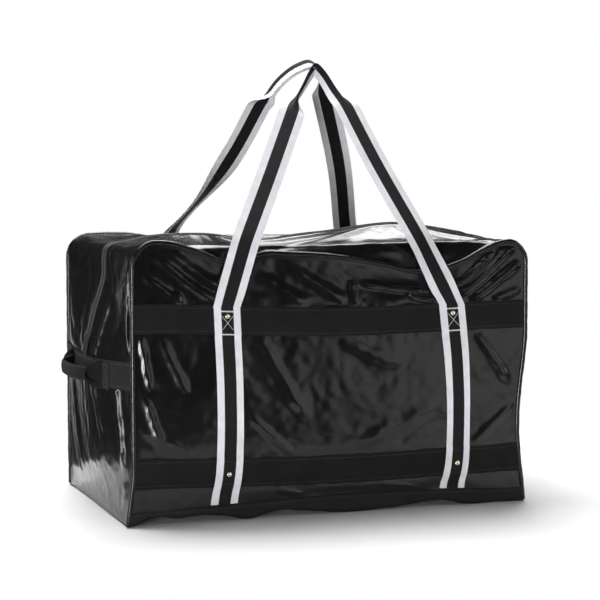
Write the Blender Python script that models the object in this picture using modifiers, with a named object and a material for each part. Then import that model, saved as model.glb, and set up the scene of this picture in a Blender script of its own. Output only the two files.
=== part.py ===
"""Hockey equipment bag: a sewn carry bag of glossy vinyl with a zipped top, two striped carry handles
and a grab handle on each end.

Metres, +Z up. The origin is the middle of the base. X runs along the length, the front is at -Y,
and the zip runs along the middle of the top and down both ends.
"""

import math

import bmesh
import bpy
from mathutils import Matrix, Vector

# The bag's body
LENGTH = 0.84
DEPTH = 0.49
HEIGHT = 0.54
CORNER = 0.048  # outer radius where the top meets the ends
VINYL = 0.002
GAP = 0.0003  # between pieces that touch
PIPING = 0.0035  # radius of the cord in the front and rear edges
BASE_LIP = 0.028  # the base fabric turns up the front and the rear this far

# The zip
TAPE_WIDTH = 0.030
TAPE = 0.001
COIL_WIDTH = 0.009
COIL = 0.002
ZIP_END = 0.346  # height where the zip stops on the ends
FOLD_MARGIN = 0.030  # strip of the top that stays with the piping when the top opens
FOLD_GAP = 0.0012

# Webbing
BAND_WIDTH = 0.056
BAND = 0.0015
UPPER_BAND = 0.390
LOWER_BAND = 0.095
END_BAND_WIDTH = 0.053
END_BAND = 0.2905
STRAP_WIDTH = 0.056
STRAP = 0.0018
STRAP_FOOT = 0.030
STRAP_TOP = 0.415  # the straps are free above this height
FRONT_STRAPS = {"left": -0.230, "right": 0.250}
REAR_STRAPS = {"left": -0.240, "right": 0.240}
RIVET_HEIGHTS = {"upper": 0.398, "lower": 0.092}

# The carry handles, as they stand raised: (x, z) along the middle of the webbing
TURN = 0.545  # height where a handle bends in over the top
FRONT_HANDLE = [(-0.190, TURN), (-0.100, 0.672), (0.008, 0.826), (0.054, 0.893),
                (0.114, 0.826), (0.162, 0.680), (0.203, TURN)]
REAR_HANDLE = [(-0.200, TURN), (-0.125, 0.700), (-0.051, 0.836), (0.041, 0.906),
               (0.080, 0.850), (0.150, 0.690), (0.206, TURN)]
APEX_OFFSET = 0.008  # how far each grip stays from the bag's centre plane
FOLD_POINTS = (2, 4)  # between these points the webbing is folded in half lengthwise
FOLD_EASE = 0.05  # share of the handle's length that each fold takes to form
RIDGE = 0.002  # what the folded webbing's ridge stands above its middle line
HANDLE_STEPS = 56
LOWER_FREE = 0.0015  # free end left at a strap's lower bend, from the hinge line
UPPER_FREE = 0.003

# The end grab handles
GRAB_REACH = 0.034
GRAB_HALF = 0.110  # half the length of the loop along the end
GRAB_FREE = 0.0937  # the loop swings inside this distance from the middle
GRAB_HEIGHT = 0.028
GRAB = 0.0035
GRAB_PAD_END = 0.150
GRAB_GAP = 0.0022  # between a pad's raised end and the loop, which meet at a slant

# The slider and its pull
SLIDER_HEIGHT = 0.376
SLIDER_SIZE = (0.0045, 0.012, 0.015)
BRIDGE = (0.0056, 0.0022, 0.0120)
BRIDGE_CLEAR = 0.0034
PULL_WIDTH = 0.009
PULL_LENGTH = 0.030
PULL = 0.0018

FINISHES = {
    "gloss_vinyl": ((0.012, 0.012, 0.013, 1.0), 0.18, 0.0),
    "base_fabric": ((0.014, 0.014, 0.014, 1.0), 0.85, 0.0),
    "black_webbing": ((0.018, 0.018, 0.018, 1.0), 0.80, 0.0),
    "striped_webbing": ((0.55, 0.55, 0.57, 1.0), 0.75, 0.0),
    "zip_tape": ((0.015, 0.015, 0.015, 1.0), 0.80, 0.0),
    "zip_coil": ((0.010, 0.010, 0.010, 1.0), 0.40, 0.0),
    "slider_metal": ((0.05, 0.05, 0.05, 1.0), 0.35, 1.0),
    "rivet_metal": ((0.72, 0.62, 0.42, 1.0), 0.25, 1.0),
}

BAG = "hockey_equipment_bag"
FRONT = -1
REAR = 1
LEFT = -1
RIGHT = 1
SIDE_NAMES = {LEFT: "left", RIGHT: "right"}
FACE_NAMES = {FRONT: "front", REAR: "rear"}


# ---------------------------------------------------------------- scene and small tools

def clear_scene():
    for obj in list(bpy.data.objects):
        bpy.data.objects.remove(obj, do_unlink=True)


def collection(name):
    found = bpy.data.collections.new(name)
    bpy.context.scene.collection.children.link(found)
    return found


def finish(obj, kind):
    """Gives the object a material of its own."""
    colour, roughness, metallic = FINISHES[kind]
    material = bpy.data.materials.new(f"{obj.name}_{kind}")
    material.use_nodes = True
    shader = material.node_tree.nodes["Principled BSDF"]
    shader.inputs["Base Color"].default_value = colour
    shader.inputs["Roughness"].default_value = roughness
    shader.inputs["Metallic"].default_value = metallic
    obj.data.materials.append(material)


def add(name, data, kind, hinge=None):
    """A new object in the bag's collection. Its place is given in world axes, also under a hinge."""
    obj = bpy.data.objects.new(name, data)
    bpy.data.collections[BAG].objects.link(obj)
    finish(obj, kind)
    if hinge:
        obj.parent = hinge
        obj.matrix_parent_inverse = world_of(hinge).inverted()
    return obj


def world_of(hinge):
    matrix = Matrix.Translation(hinge.location)
    return world_of(hinge.parent) @ matrix if hinge.parent else matrix


def hinge_at(name, place, parent=None):
    """An empty on a joint's axis."""
    empty = bpy.data.objects.new(name, None)
    empty.empty_display_size = 0.02
    bpy.data.collections[BAG].objects.link(empty)
    empty.location = Vector(place)
    if parent:
        empty.parent = parent
        empty.location = Vector(place) - world_of(parent).translation
    return empty


def spread(low, high, count):
    return [low + (high - low) * i / (count - 1) for i in range(count)]


def sheet(name, kind, us, vs, place, thickness, hinge=None, cut=None):
    """Cloth of one thickness: a grid laid out by place(u, v), without the faces that cut(u, v) takes."""
    grid = bmesh.new()
    bmesh.ops.create_grid(grid, x_segments=len(us) - 1, y_segments=len(vs) - 1, size=1.0)
    for face in list(grid.faces):
        middle = face.calc_center_median()
        u = between(us, middle.x)
        v = between(vs, middle.y)
        if cut and cut(u, v):
            bmesh.ops.delete(grid, geom=[face], context="FACES")
    for vertex in grid.verts:
        vertex.co = Vector(place(between(us, vertex.co.x), between(vs, vertex.co.y)))
    bmesh.ops.recalc_face_normals(grid, faces=grid.faces)
    mesh = bpy.data.meshes.new(name)
    grid.to_mesh(mesh)
    grid.free()
    obj = add(name, mesh, kind, hinge)
    solid = obj.modifiers.new("thickness", "SOLIDIFY")
    solid.thickness = thickness
    solid.offset = 0.0
    solid.use_even_offset = True
    return obj


def between(values, place):
    """The value at a place from -1 to 1 along a list."""
    at = (place + 1) / 2 * (len(values) - 1)
    index = min(int(at), len(values) - 2)
    share = at - index
    return values[index] * (1 - share) + values[index + 1] * share


def plate(name, kind, outlines, thickness, matrix, hinge=None):
    """A flat plate cut to closed outlines in its own XY plane. A second outline is a hole."""
    curve = bpy.data.curves.new(name, "CURVE")
    curve.dimensions = "2D"
    curve.fill_mode = "BOTH"
    curve.extrude = thickness / 2
    for outline in outlines:
        spline = curve.splines.new("POLY")
        spline.points.add(len(outline) - 1)
        for point, (x, y) in zip(spline.points, outline):
            point.co = (x, y, 0.0, 1.0)
        spline.use_cyclic_u = True
    obj = add(name, curve, kind, hinge)
    obj.matrix_basis = matrix
    return obj


def tube(name, kind, points, radius):
    curve = bpy.data.curves.new(name, "CURVE")
    curve.dimensions = "3D"
    curve.bevel_depth = radius
    curve.bevel_resolution = 1
    curve.use_fill_caps = True
    spline = curve.splines.new("POLY")
    spline.points.add(len(points) - 1)
    for point, place in zip(spline.points, points):
        point.co = (*place, 1.0)
    return add(name, curve, kind)


def arc(middle, radius, start, end, steps):
    """Points on a circle in a plane, with angles in degrees."""
    angles = [math.radians(a) for a in spread(start, end, steps + 1)]
    return [(middle[0] + radius * math.cos(a), middle[1] + radius * math.sin(a)) for a in angles]


def smooth(points, count):
    """Points at equal parameter steps on a Catmull-Rom curve through the given ones."""
    ends = [2 * points[0] - points[1], *points, 2 * points[-1] - points[-2]]
    found = []
    for at in spread(0, len(points) - 1, count):
        i = min(int(at), len(points) - 2)
        t = at - i
        a, b, c, d = ends[i:i + 4]
        found.append(((2 * b) + (c - a) * t + (2 * a - 5 * b + 4 * c - d) * t * t
                      + (3 * b - a - 3 * c + d) * t * t * t) * 0.5)
    return found


def ease(t):
    t = min(max(t, 0.0), 1.0)
    return t * t * (3 - 2 * t)


# ---------------------------------------------------------------- the body's panels

def face_outline(inset, foot):
    """The front's outline in X and Z: straight sides, and round upper corners."""
    x = LENGTH / 2 - inset
    top = HEIGHT - inset
    radius = CORNER - inset
    right = arc((x - radius, top - radius), radius, 0, 90, 8)
    left = arc((radius - x, top - radius), radius, 90, 180, 8)
    return [(x, foot), *right, *left, (-x, foot)]


def standing(face, depth):
    """Stands a flat outline up, facing the front or the rear, at this distance from the centre."""
    return Matrix.Translation((0, face * depth, 0)) @ Matrix.Rotation(math.radians(90), 4, "X")


def face_panels():
    inset = 2 * PIPING + GAP
    for face, word in FACE_NAMES.items():
        outline = face_outline(inset, BASE_LIP + GAP)
        plate(f"{word}_panel", "gloss_vinyl", [outline], VINYL, standing(face, DEPTH / 2 - 0.0025))
        path = [(x, face * (DEPTH / 2 - PIPING), z) for x, z in face_outline(PIPING, BASE_LIP + GAP)]
        tube(f"{word}_piping", "gloss_vinyl", path, PIPING)


def end_path(side, offset=0.0, low=0.0):
    """Up an end and round its upper corner: the X and Z of points, offset outwards."""
    x = LENGTH / 2 - 0.0025 + offset
    radius = CORNER - 0.0025 + offset
    middle = (LENGTH / 2 - CORNER, HEIGHT - CORNER)
    rise = [(x, z) for z in (low, low + 0.1, ZIP_END - 0.012, middle[1] - 0.02)]
    path = rise + arc(middle, radius, 0, 90, 8)
    return [(side * px, pz) for px, pz in path]


def along(path):
    """Turns a list of X and Z points into a function of their place in the list."""
    def at(index):
        low = min(int(index), len(path) - 2)
        share = index - low
        (x0, z0), (x1, z1) = path[low], path[low + 1]
        return x0 + (x1 - x0) * share, z0 + (z1 - z0) * share
    return at


def end_panels():
    """Each end is one piece that turns in at the top, with a slot for the zip."""
    slot = TAPE_WIDTH / 2 + GAP
    half = DEPTH / 2 - 2 * PIPING - GAP
    for side, word in SIDE_NAMES.items():
        path = end_path(side, low=0.004)
        path[-1] = (path[-1][0] + side * GAP, path[-1][1])
        at = along(path)
        sheet(
            f"{word}_end_panel", "gloss_vinyl", spread(0, len(path) - 1, len(path)), [-half, -slot, slot, half],
            lambda u, v, at=at: (at(u)[0], v, at(u)[1]), VINYL,
            cut=lambda u, v: abs(v) < slot and u > 2,
        )


def base_panel():
    """The base turns up the front and the rear as a low lip."""
    y = DEPTH / 2 - 0.0025
    profile = [(-y, BASE_LIP), (-y, VINYL / 2), (y, VINYL / 2), (y, BASE_LIP)]
    x = LENGTH / 2 - 0.004
    obj = sheet(
        "base_panel", "base_fabric", [0, 1, 2, 3], [-x, x],
        lambda u, v: (v, *profile[round(u)]), VINYL,
    )
    obj.modifiers["thickness"].use_quality_normals = True


def top_halves(hinges):
    """The two halves of the top: a strip that stays with the piping, and the flap that opens inwards."""
    x = LENGTH / 2 - CORNER - GAP
    z = HEIGHT - 0.0025
    outer = DEPTH / 2 - 2 * PIPING - GAP
    fold = DEPTH / 2 - 2 * PIPING - FOLD_MARGIN
    for face, word in FACE_NAMES.items():
        strips = [
            (f"top_{word}_margin", "gloss_vinyl", outer, fold + FOLD_GAP, z, VINYL, None),
            (f"top_{word}_flap", "gloss_vinyl", fold - FOLD_GAP, TAPE_WIDTH / 2 + GAP, z, VINYL, hinges[face]),
            (f"top_{word}_zip_tape", "zip_tape", TAPE_WIDTH / 2, GAP / 2, z, TAPE, hinges[face]),
            (f"top_{word}_zip_coil", "zip_coil", COIL_WIDTH / 2, GAP / 2, z + TAPE / 2 + GAP + COIL / 2, COIL,
             hinges[face]),
        ]
        for name, kind, far, near, height, thickness, hinge in strips:
            sheet(
                name, kind, spread(-x, x, 9), [face * far, face * near],
                lambda u, v, height=height: (u, v, height), thickness, hinge,
            )


def end_zips():
    for side, word in SIDE_NAMES.items():
        layers = [
            ("zip_tape", "zip_tape", TAPE_WIDTH, 0.0, ZIP_END - 0.0115, TAPE),
            ("zip_coil", "zip_coil", COIL_WIDTH, TAPE / 2 + GAP + COIL / 2, ZIP_END + GAP, COIL),
        ]
        for part, kind, width, offset, low, thickness in layers:
            path = end_path(side, offset)[3:]
            path.insert(0, (path[0][0], low))
            path[-1] = (path[-1][0] + side * GAP, path[-1][1])
            at = along(path)
            sheet(
                f"{word}_end_{part}", kind, spread(0, len(path) - 1, len(path)), [-width / 2, width / 2],
                lambda u, v, at=at: (at(u)[0], v, at(u)[1]), thickness,
            )


# ---------------------------------------------------------------- webbing

def upright_strip(name, kind, face, depth, low, high, width, thickness, hinge=None):
    """A strip on the front or rear between two (x, z) points, its ends level."""
    (x0, z0), (x1, z1) = low, high
    return sheet(
        name, kind, spread(0, 1, 5), [-width / 2, width / 2],
        lambda u, v: (x0 + (x1 - x0) * u + v, face * depth, z0 + (z1 - z0) * u), thickness, hinge,
    )


BAND_DEPTH = DEPTH / 2 - 0.0015 + GAP + BAND / 2
STRAP_DEPTH = BAND_DEPTH + BAND / 2 + GAP + STRAP / 2


def face_bands():
    half = LENGTH / 2 - 2 * PIPING - GAP
    for face, word in FACE_NAMES.items():
        for level, height in {"upper": UPPER_BAND, "lower": LOWER_BAND}.items():
            sheet(
                f"{word}_{level}_band", "black_webbing", spread(-half, half, 5),
                [height - BAND_WIDTH / 2, height + BAND_WIDTH / 2],
                lambda u, v, face=face: (u, face * BAND_DEPTH, v), BAND,
            )


def strap_places(face):
    return FRONT_STRAPS if face == FRONT else REAR_STRAPS


def handle_ends(face):
    path = FRONT_HANDLE if face == FRONT else REAR_HANDLE
    return {"left": path[0][0], "right": path[-1][0]}


def sewn_straps():
    for face, word in FACE_NAMES.items():
        for side, x in strap_places(face).items():
            upright_strip(
                f"{word}_{side}_strap", "striped_webbing", face, STRAP_DEPTH, (x, STRAP_FOOT),
                (x, STRAP_TOP - LOWER_FREE), STRAP_WIDTH, STRAP,
            )


def strap_risers(hinges):
    """The free stretch of each strap, from the last stitches to the bag's upper edge."""
    for face, word in FACE_NAMES.items():
        for side, x in strap_places(face).items():
            upright_strip(
                f"{word}_{side}_riser", "striped_webbing", face, STRAP_DEPTH, (x, STRAP_TOP + LOWER_FREE),
                (handle_ends(face)[side], TURN - UPPER_FREE), STRAP_WIDTH, STRAP, hinges[face],
            )


def handle_path(face):
    """The middle of a handle's webbing in its leaning plane, with even steps, and the plane's lean."""
    points = [Vector(p) for p in (FRONT_HANDLE if face == FRONT else REAR_HANDLE)]
    apex = max(point.y for point in points)
    lean = math.atan2(STRAP_DEPTH - APEX_OFFSET, apex - TURN)
    flat = [Vector((p.x, (p.y - TURN) / math.cos(lean))) for p in points]
    folds = (flat[FOLD_POINTS[0]], flat[FOLD_POINTS[1]])
    fine = smooth(flat, 241)
    lengths = [0.0]
    for before, after in zip(fine, fine[1:]):
        lengths.append(lengths[-1] + (after - before).length)
    even = []
    for target in spread(0, lengths[-1], HANDLE_STEPS + 1):
        i = max(j for j in range(len(fine) - 1) if lengths[j] <= target or j == 0)
        share = (target - lengths[i]) / (lengths[i + 1] - lengths[i])
        even.append(fine[i].lerp(fine[i + 1], min(share, 1.0)))
    even[0].y = even[-1].y = UPPER_FREE
    span = [min(range(len(even)), key=lambda j: (even[j] - fold).length) / HANDLE_STEPS for fold in folds]
    return even, lean, span


def carry_handles(hinges):
    """Each handle leans in over the top, and its grip is folded in half along its length."""
    for face, word in FACE_NAMES.items():
        flat, lean, span = handle_path(face)

        def place(u, v, face=face, flat=flat, lean=lean, span=span):
            index = round(u)
            if index in (0, HANDLE_STEPS):
                out = Vector((-1, 0)) if index == 0 else Vector((1, 0))
            else:
                ahead = (flat[index + 1] - flat[index - 1]).normalized()
                out = Vector((-ahead.y, ahead.x))
            share = u / HANDLE_STEPS
            folded = ease((share - span[0]) / FOLD_EASE) * ease((span[1] - share) / FOLD_EASE)
            outer = STRAP_WIDTH / 2 * (1 - folded) + RIDGE * folded
            point = flat[index] + out * v * (outer if v > 0 else STRAP_WIDTH / 2)
            return (point.x, face * (STRAP_DEPTH - point.y * math.sin(lean)),
                    TURN + point.y * math.cos(lean))

        sheet(
            f"{word}_handle", "striped_webbing", spread(0, HANDLE_STEPS, HANDLE_STEPS + 1), [-1, 0, 1],
            place, STRAP, hinges[face],
        )


def rivets():
    """Domed rivets with a dimple, through the straps at both bands."""
    radius = 0.005
    profile = [(0.0, 0.0012), (0.0012, 0.0014), (0.0024, 0.0021), (0.0038, 0.0019), (radius, 0.0008), (radius, 0.0)]
    profile.append((0.0, 0.0))
    for face, word in FACE_NAMES.items():
        for side, x in strap_places(face).items():
            for level, height in RIVET_HEIGHTS.items():
                mesh = bpy.data.meshes.new(f"{word}_{side}_{level}_rivet")
                mesh.from_pydata([(r, 0.0, h) for r, h in profile],
                                 [(i, i + 1) for i in range(len(profile) - 1)], [])
                obj = add(mesh.name, mesh, "rivet_metal")
                turn = obj.modifiers.new("turned", "SCREW")
                turn.steps = 16
                turn.render_steps = 16
                turn.use_merge_vertices = True
                turn.merge_threshold = 0.0001
                tilt = Matrix.Rotation(math.radians(-90 * face), 4, "X")
                seat = STRAP_DEPTH + STRAP / 2 + GAP
                obj.matrix_basis = Matrix.Translation((x, face * seat, height)) @ tilt


# ---------------------------------------------------------------- the ends' webbing

END_FACE = LENGTH / 2 - 0.0015
END_BAND_DEPTH = END_FACE + GAP + BAND / 2
GRAB_DEPTH = END_BAND_DEPTH + BAND / 2 + GAP + STRAP / 2


def end_bands():
    half = DEPTH / 2 - 2 * PIPING - GAP
    for side, word in SIDE_NAMES.items():
        sheet(
            f"{word}_end_band", "black_webbing", spread(-half, half, 5),
            [END_BAND - END_BAND_WIDTH / 2, END_BAND + END_BAND_WIDTH / 2],
            lambda u, v, side=side: (side * END_BAND_DEPTH, u, v), BAND,
        )
        low = END_BAND + END_BAND_WIDTH / 2 + GAP
        sheet(
            f"{word}_zip_end_tab", "black_webbing", [-0.017, 0.017], [low, ZIP_END],
            lambda u, v, side=side: (side * END_BAND_DEPTH, u, v), BAND,
        )


def grab_reach(y):
    return GRAB_REACH * max(0.0, 1 - abs(y / GRAB_HALF) ** 3)


def grab_handles(hinges):
    """A loop of folded webbing on each end, between two sewn pads that it swings on."""
    for side, word in SIDE_NAMES.items():
        for face, face_word in FACE_NAMES.items():
            def pad(u, v, side=side, face=face):
                narrow = ease((GRAB_HALF + 0.012 - u) / 0.024)
                height = END_BAND_WIDTH * (1 - narrow) + GRAB_HEIGHT * narrow
                return (side * (GRAB_DEPTH + grab_reach(u)), face * u, END_BAND + v * height / 2)

            sheet(
                f"{word}_grab_{face_word}_pad", "black_webbing", spread(GRAB_FREE + GRAB_GAP, GRAB_PAD_END, 13),
                [-1, 1], pad, STRAP,
            )
        sheet(
            f"{word}_grab_loop", "black_webbing", spread(-GRAB_FREE, GRAB_FREE, 25), [-1, 1],
            lambda u, v, side=side: (side * (GRAB_DEPTH + grab_reach(u)), u, END_BAND + v * GRAB_HEIGHT / 2),
            GRAB, hinges[side],
        )


# ---------------------------------------------------------------- the slider

COIL_FACE = LENGTH / 2 - 0.0025 + TAPE / 2 + GAP + COIL
SLIDER_BACK = COIL_FACE + GAP
PULL_AXIS = SLIDER_BACK + SLIDER_SIZE[0] + BRIDGE_CLEAR / 2


def block(name, size, middle):
    mesh = bpy.data.meshes.new(name)
    cube = bmesh.new()
    bmesh.ops.create_cube(cube, size=1.0)
    bmesh.ops.scale(cube, vec=size, verts=cube.verts)
    bmesh.ops.translate(cube, vec=middle, verts=cube.verts)
    cube.to_mesh(mesh)
    cube.free()
    return mesh


def cutter(name, size, middle):
    obj = bpy.data.objects.new(name, block(name, size, middle))
    bpy.data.collections["cutters"].objects.link(obj)
    obj.hide_render = True
    obj.display_type = "WIRE"
    return obj


def slider(hinge):
    """The slider's body runs on the coil. Its bridge holds the pull."""
    thick, wide, tall = SLIDER_SIZE
    body = block("zip_slider", SLIDER_SIZE, (SLIDER_BACK + thick / 2, 0, SLIDER_HEIGHT))
    obj = add("zip_slider", body, "slider_metal", hinge)
    soft = obj.modifiers.new("soft_edges", "BEVEL")
    soft.width = 0.0012
    soft.segments = 2
    rise, width, length = BRIDGE
    root = 0.001
    bridge = cutter("bridge", (rise + root, width, length),
                    (SLIDER_BACK + thick + (rise - root) / 2, 0, SLIDER_HEIGHT))
    window = cutter("bridge_window", (BRIDGE_CLEAR, 2 * width, length - 2 * width),
                    (SLIDER_BACK + thick + BRIDGE_CLEAR / 2, 0, SLIDER_HEIGHT))
    for name, operation, tool in (("join", "UNION", bridge), ("window", "DIFFERENCE", window)):
        step = obj.modifiers.new(name, "BOOLEAN")
        step.operation = operation
        step.solver = "EXACT"
        step.object = tool


def rounded(x0, y0, x1, y1, radius):
    corners = [((x1 - radius, y0 + radius), -90), ((x1 - radius, y1 - radius), 0),
               ((x0 + radius, y1 - radius), 90), ((x0 + radius, y0 + radius), 180)]
    return [point for middle, start in corners for point in arc(middle, radius, start, start + 90, 4)]


def pull(hinge):
    """A flat pull that hangs from the bridge by the bar above its window."""
    bar = PULL / 2
    outer = rounded(-PULL_WIDTH / 2, -PULL_LENGTH, PULL_WIDTH / 2, bar, 0.0008)
    window = rounded(-0.0027, -0.0085, 0.0027, -bar, 0.0006)
    facing = Matrix(((0, 0, 1, PULL_AXIS), (1, 0, 0, 0), (0, 1, 0, SLIDER_HEIGHT), (0, 0, 0, 1)))
    plate("zip_pull", "slider_metal", [outer, window], PULL, facing, hinge)


# ---------------------------------------------------------------- assembly

def handle_hinges():
    """A lower hinge where each handle leaves its stitches, and an upper one where it bends over the top."""
    lower, upper = {}, {}
    for face, word in FACE_NAMES.items():
        lower[face] = hinge_at(f"{word}_riser_hinge", (0, face * STRAP_DEPTH, STRAP_TOP))
        upper[face] = hinge_at(f"{word}_handle_hinge", (0, face * STRAP_DEPTH, TURN), lower[face])
    return lower, upper


def flap_hinges():
    fold = DEPTH / 2 - 2 * PIPING - FOLD_MARGIN
    return {face: hinge_at(f"top_{word}_flap_hinge", (0, face * fold, HEIGHT - 0.0025))
            for face, word in FACE_NAMES.items()}


def grab_hinges():
    return {side: hinge_at(f"{word}_grab_hinge", (side * GRAB_DEPTH, 0, END_BAND))
            for side, word in SIDE_NAMES.items()}


def main():
    clear_scene()
    collection(BAG)
    collection("cutters").hide_render = True
    face_panels()
    end_panels()
    base_panel()
    top_halves(flap_hinges())
    end_zips()
    face_bands()
    sewn_straps()
    lower, upper = handle_hinges()
    strap_risers(lower)
    carry_handles(upper)
    rivets()
    end_bands()
    grab_handles(grab_hinges())
    track = hinge_at("zip_slider_track", (PULL_AXIS, 0, SLIDER_HEIGHT))
    slider(track)
    pull(hinge_at("zip_pull_hinge", (PULL_AXIS, 0, SLIDER_HEIGHT), track))


main()
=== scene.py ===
"""The looks of a hockey equipment bag: crumpled glossy vinyl, piping, striped webbing handles and a coil zip.

Metres, +Z up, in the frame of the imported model. The front is at -Y. Soft pieces are grids of points: a flat
place on the bag is carried to where the half-empty bag lets it sag, and the vinyl is then simulated as cloth.
"""

import math

import bpy
import numpy as np
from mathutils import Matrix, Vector, noise


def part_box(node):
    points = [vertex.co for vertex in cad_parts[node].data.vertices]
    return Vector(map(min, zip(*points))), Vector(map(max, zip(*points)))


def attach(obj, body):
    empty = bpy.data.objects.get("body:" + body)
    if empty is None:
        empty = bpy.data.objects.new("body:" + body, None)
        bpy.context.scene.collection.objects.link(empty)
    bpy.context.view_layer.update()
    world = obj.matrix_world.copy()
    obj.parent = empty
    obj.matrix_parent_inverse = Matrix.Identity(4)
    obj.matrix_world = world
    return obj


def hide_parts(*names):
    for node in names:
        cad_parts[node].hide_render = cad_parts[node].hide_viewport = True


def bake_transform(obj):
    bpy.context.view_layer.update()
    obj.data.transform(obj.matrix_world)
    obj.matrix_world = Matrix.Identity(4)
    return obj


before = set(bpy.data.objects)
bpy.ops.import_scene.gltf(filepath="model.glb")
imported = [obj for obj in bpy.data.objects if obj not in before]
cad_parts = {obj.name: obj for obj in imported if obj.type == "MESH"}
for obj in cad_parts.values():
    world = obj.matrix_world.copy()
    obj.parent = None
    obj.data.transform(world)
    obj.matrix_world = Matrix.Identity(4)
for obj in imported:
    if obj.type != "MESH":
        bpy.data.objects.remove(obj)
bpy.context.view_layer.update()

FRONT, REAR = -1, 1
LEFT, RIGHT = -1, 1
FACES = {FRONT: "front", REAR: "rear"}
SIDES = {LEFT: "left", RIGHT: "right"}


def middle(node):
    low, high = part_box(node)
    return (low + high) / 2


# ---------------------------------------------------------------- places, from the frame

HALF_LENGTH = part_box("front_piping")[1].x
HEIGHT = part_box("front_piping")[1].z
FACE_Y = -middle("front_panel").y
TOP_Z = middle("top_front_margin").z
END_X = -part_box("left_end_zip_tape")[0].x - 0.0005
SEAM_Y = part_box("left_end_panel")[1].y
FOLD_Y = -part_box("top_front_flap")[0].y + 0.0012
FLAP_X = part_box("top_front_flap")[1].x
UPPER_BAND = middle("front_upper_band").z
LOWER_BAND = middle("front_lower_band").z
END_BAND = middle("left_end_band").z - 0.009
STRAP_Y = -middle("front_left_strap").y
STRAP_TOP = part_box("front_left_strap")[1].z + 0.0015
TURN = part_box("front_left_riser")[1].z + 0.003
ZIP_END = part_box("left_zip_end_tab")[1].z
GRAB_X = -middle("left_grab_front_pad").x
CORNER = 0.048
PIPING = 0.0035
BAND_WIDTH = 0.056
HALF_BAND = BAND_WIDTH / 2
END_BAND_WIDTH = 0.053
STRAP_WIDTH = 0.0540
STRAP = 0.0018
BAND = 0.0014
VINYL = 0.0012
BASE = 0.0016
TAB = 0.0016
TAPE_HALF = 0.015
BASE_LIP = 0.028
BLACK_SHARE = 0.46  # of the striped webbing's width
OVER_VINYL = 0.0022  # from the vinyl's middle to the middle of webbing or cloth that lies on it
BLACK_STITCH_EDGE = BLACK_SHARE * 1.04
CROSS_STITCH_EDGE = BLACK_SHARE * 0.95
RIVET_HEIGHTS = {"upper": 0.398, "lower": 0.092}
# Kinds of stitching: pitch, the share of it that is thread, the thread's radius, its lift off the given line
STITCHING = {
    "band": (0.0042, 0.72, 0.00042, BAND / 2),
    "box": (0.0036, 0.95, 0.0008, 0.0001),
    "cross": (0.0036, 0.95, 0.0005, 0.0001),
    "strap": (0.0040, 0.7, 0.00035, 0.0),
    "strap_foot": (0.0040, 0.8, 0.0004, 0.0),
    "base": (0.0050, 0.62, 0.0006, 0.0),
    "end_tape": (0.0046, 0.50, 0.0007, 0.0004),
    "flap_tape": (0.0046, 0.55, 0.0005, 0.0004),
    "tab": (0.0040, 0.7, 0.0004, 0.0007),
    "grab": (0.0036, 0.75, 0.0004, 0.0),
}


# ---------------------------------------------------------------- numbers along a line

def ease(t):
    t = np.clip(t, 0.0, 1.0)
    return t * t * (3 - 2 * t)


def hill(x, top, reach):
    """A smooth hill of height 1 that ends at this reach on both sides."""
    return np.clip(1 - ((x - top) / reach) ** 2, 0, 1) ** 2


def through(*points):
    """A smooth function through (place, value) points, level beyond the last ones."""
    xs, ys = np.array(points, float).T
    slopes = np.gradient(ys, xs)
    slopes[0] = slopes[-1] = 0.0

    def at(x):
        x = np.clip(x, xs[0], xs[-1])
        i = np.clip(np.searchsorted(xs, x, side="right") - 1, 0, len(xs) - 2)
        step = xs[i + 1] - xs[i]
        t = (x - xs[i]) / step
        return ((1 + 2 * t) * (1 - t) ** 2 * ys[i] + t * (1 - t) ** 2 * step * slopes[i]
                + t * t * (3 - 2 * t) * ys[i + 1] + t * t * (t - 1) * step * slopes[i + 1])
    return at


def distances(line):
    """How far along a line of points each of them is."""
    return np.concatenate([[0], np.cumsum(np.linalg.norm(np.diff(line, axis=0), axis=-1))])


def at_distance(where, along, values):
    """Points or directions given along a line, at other distances along it."""
    return np.stack([np.interp(where, along, values[:, c]) for c in range(3)], axis=-1)


def curve(points, at):
    """A Catmull-Rom curve through rows of points, at these places counted in rows."""
    padded = np.concatenate([2 * points[:1] - points[1:2], points, 2 * points[-1:] - points[-2:-1]])
    i = np.minimum(at.astype(int), len(points) - 2)
    t = (at - i).reshape(-1, *[1] * (points.ndim - 1))
    a, b, c, d = (padded[i + k] for k in range(4))
    return 0.5 * (2 * b + (c - a) * t + (2 * a - 5 * b + 4 * c - d) * t ** 2
                  + (3 * b - a - 3 * c + d) * t ** 3)


# ---------------------------------------------------------------- how the bag sags

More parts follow.
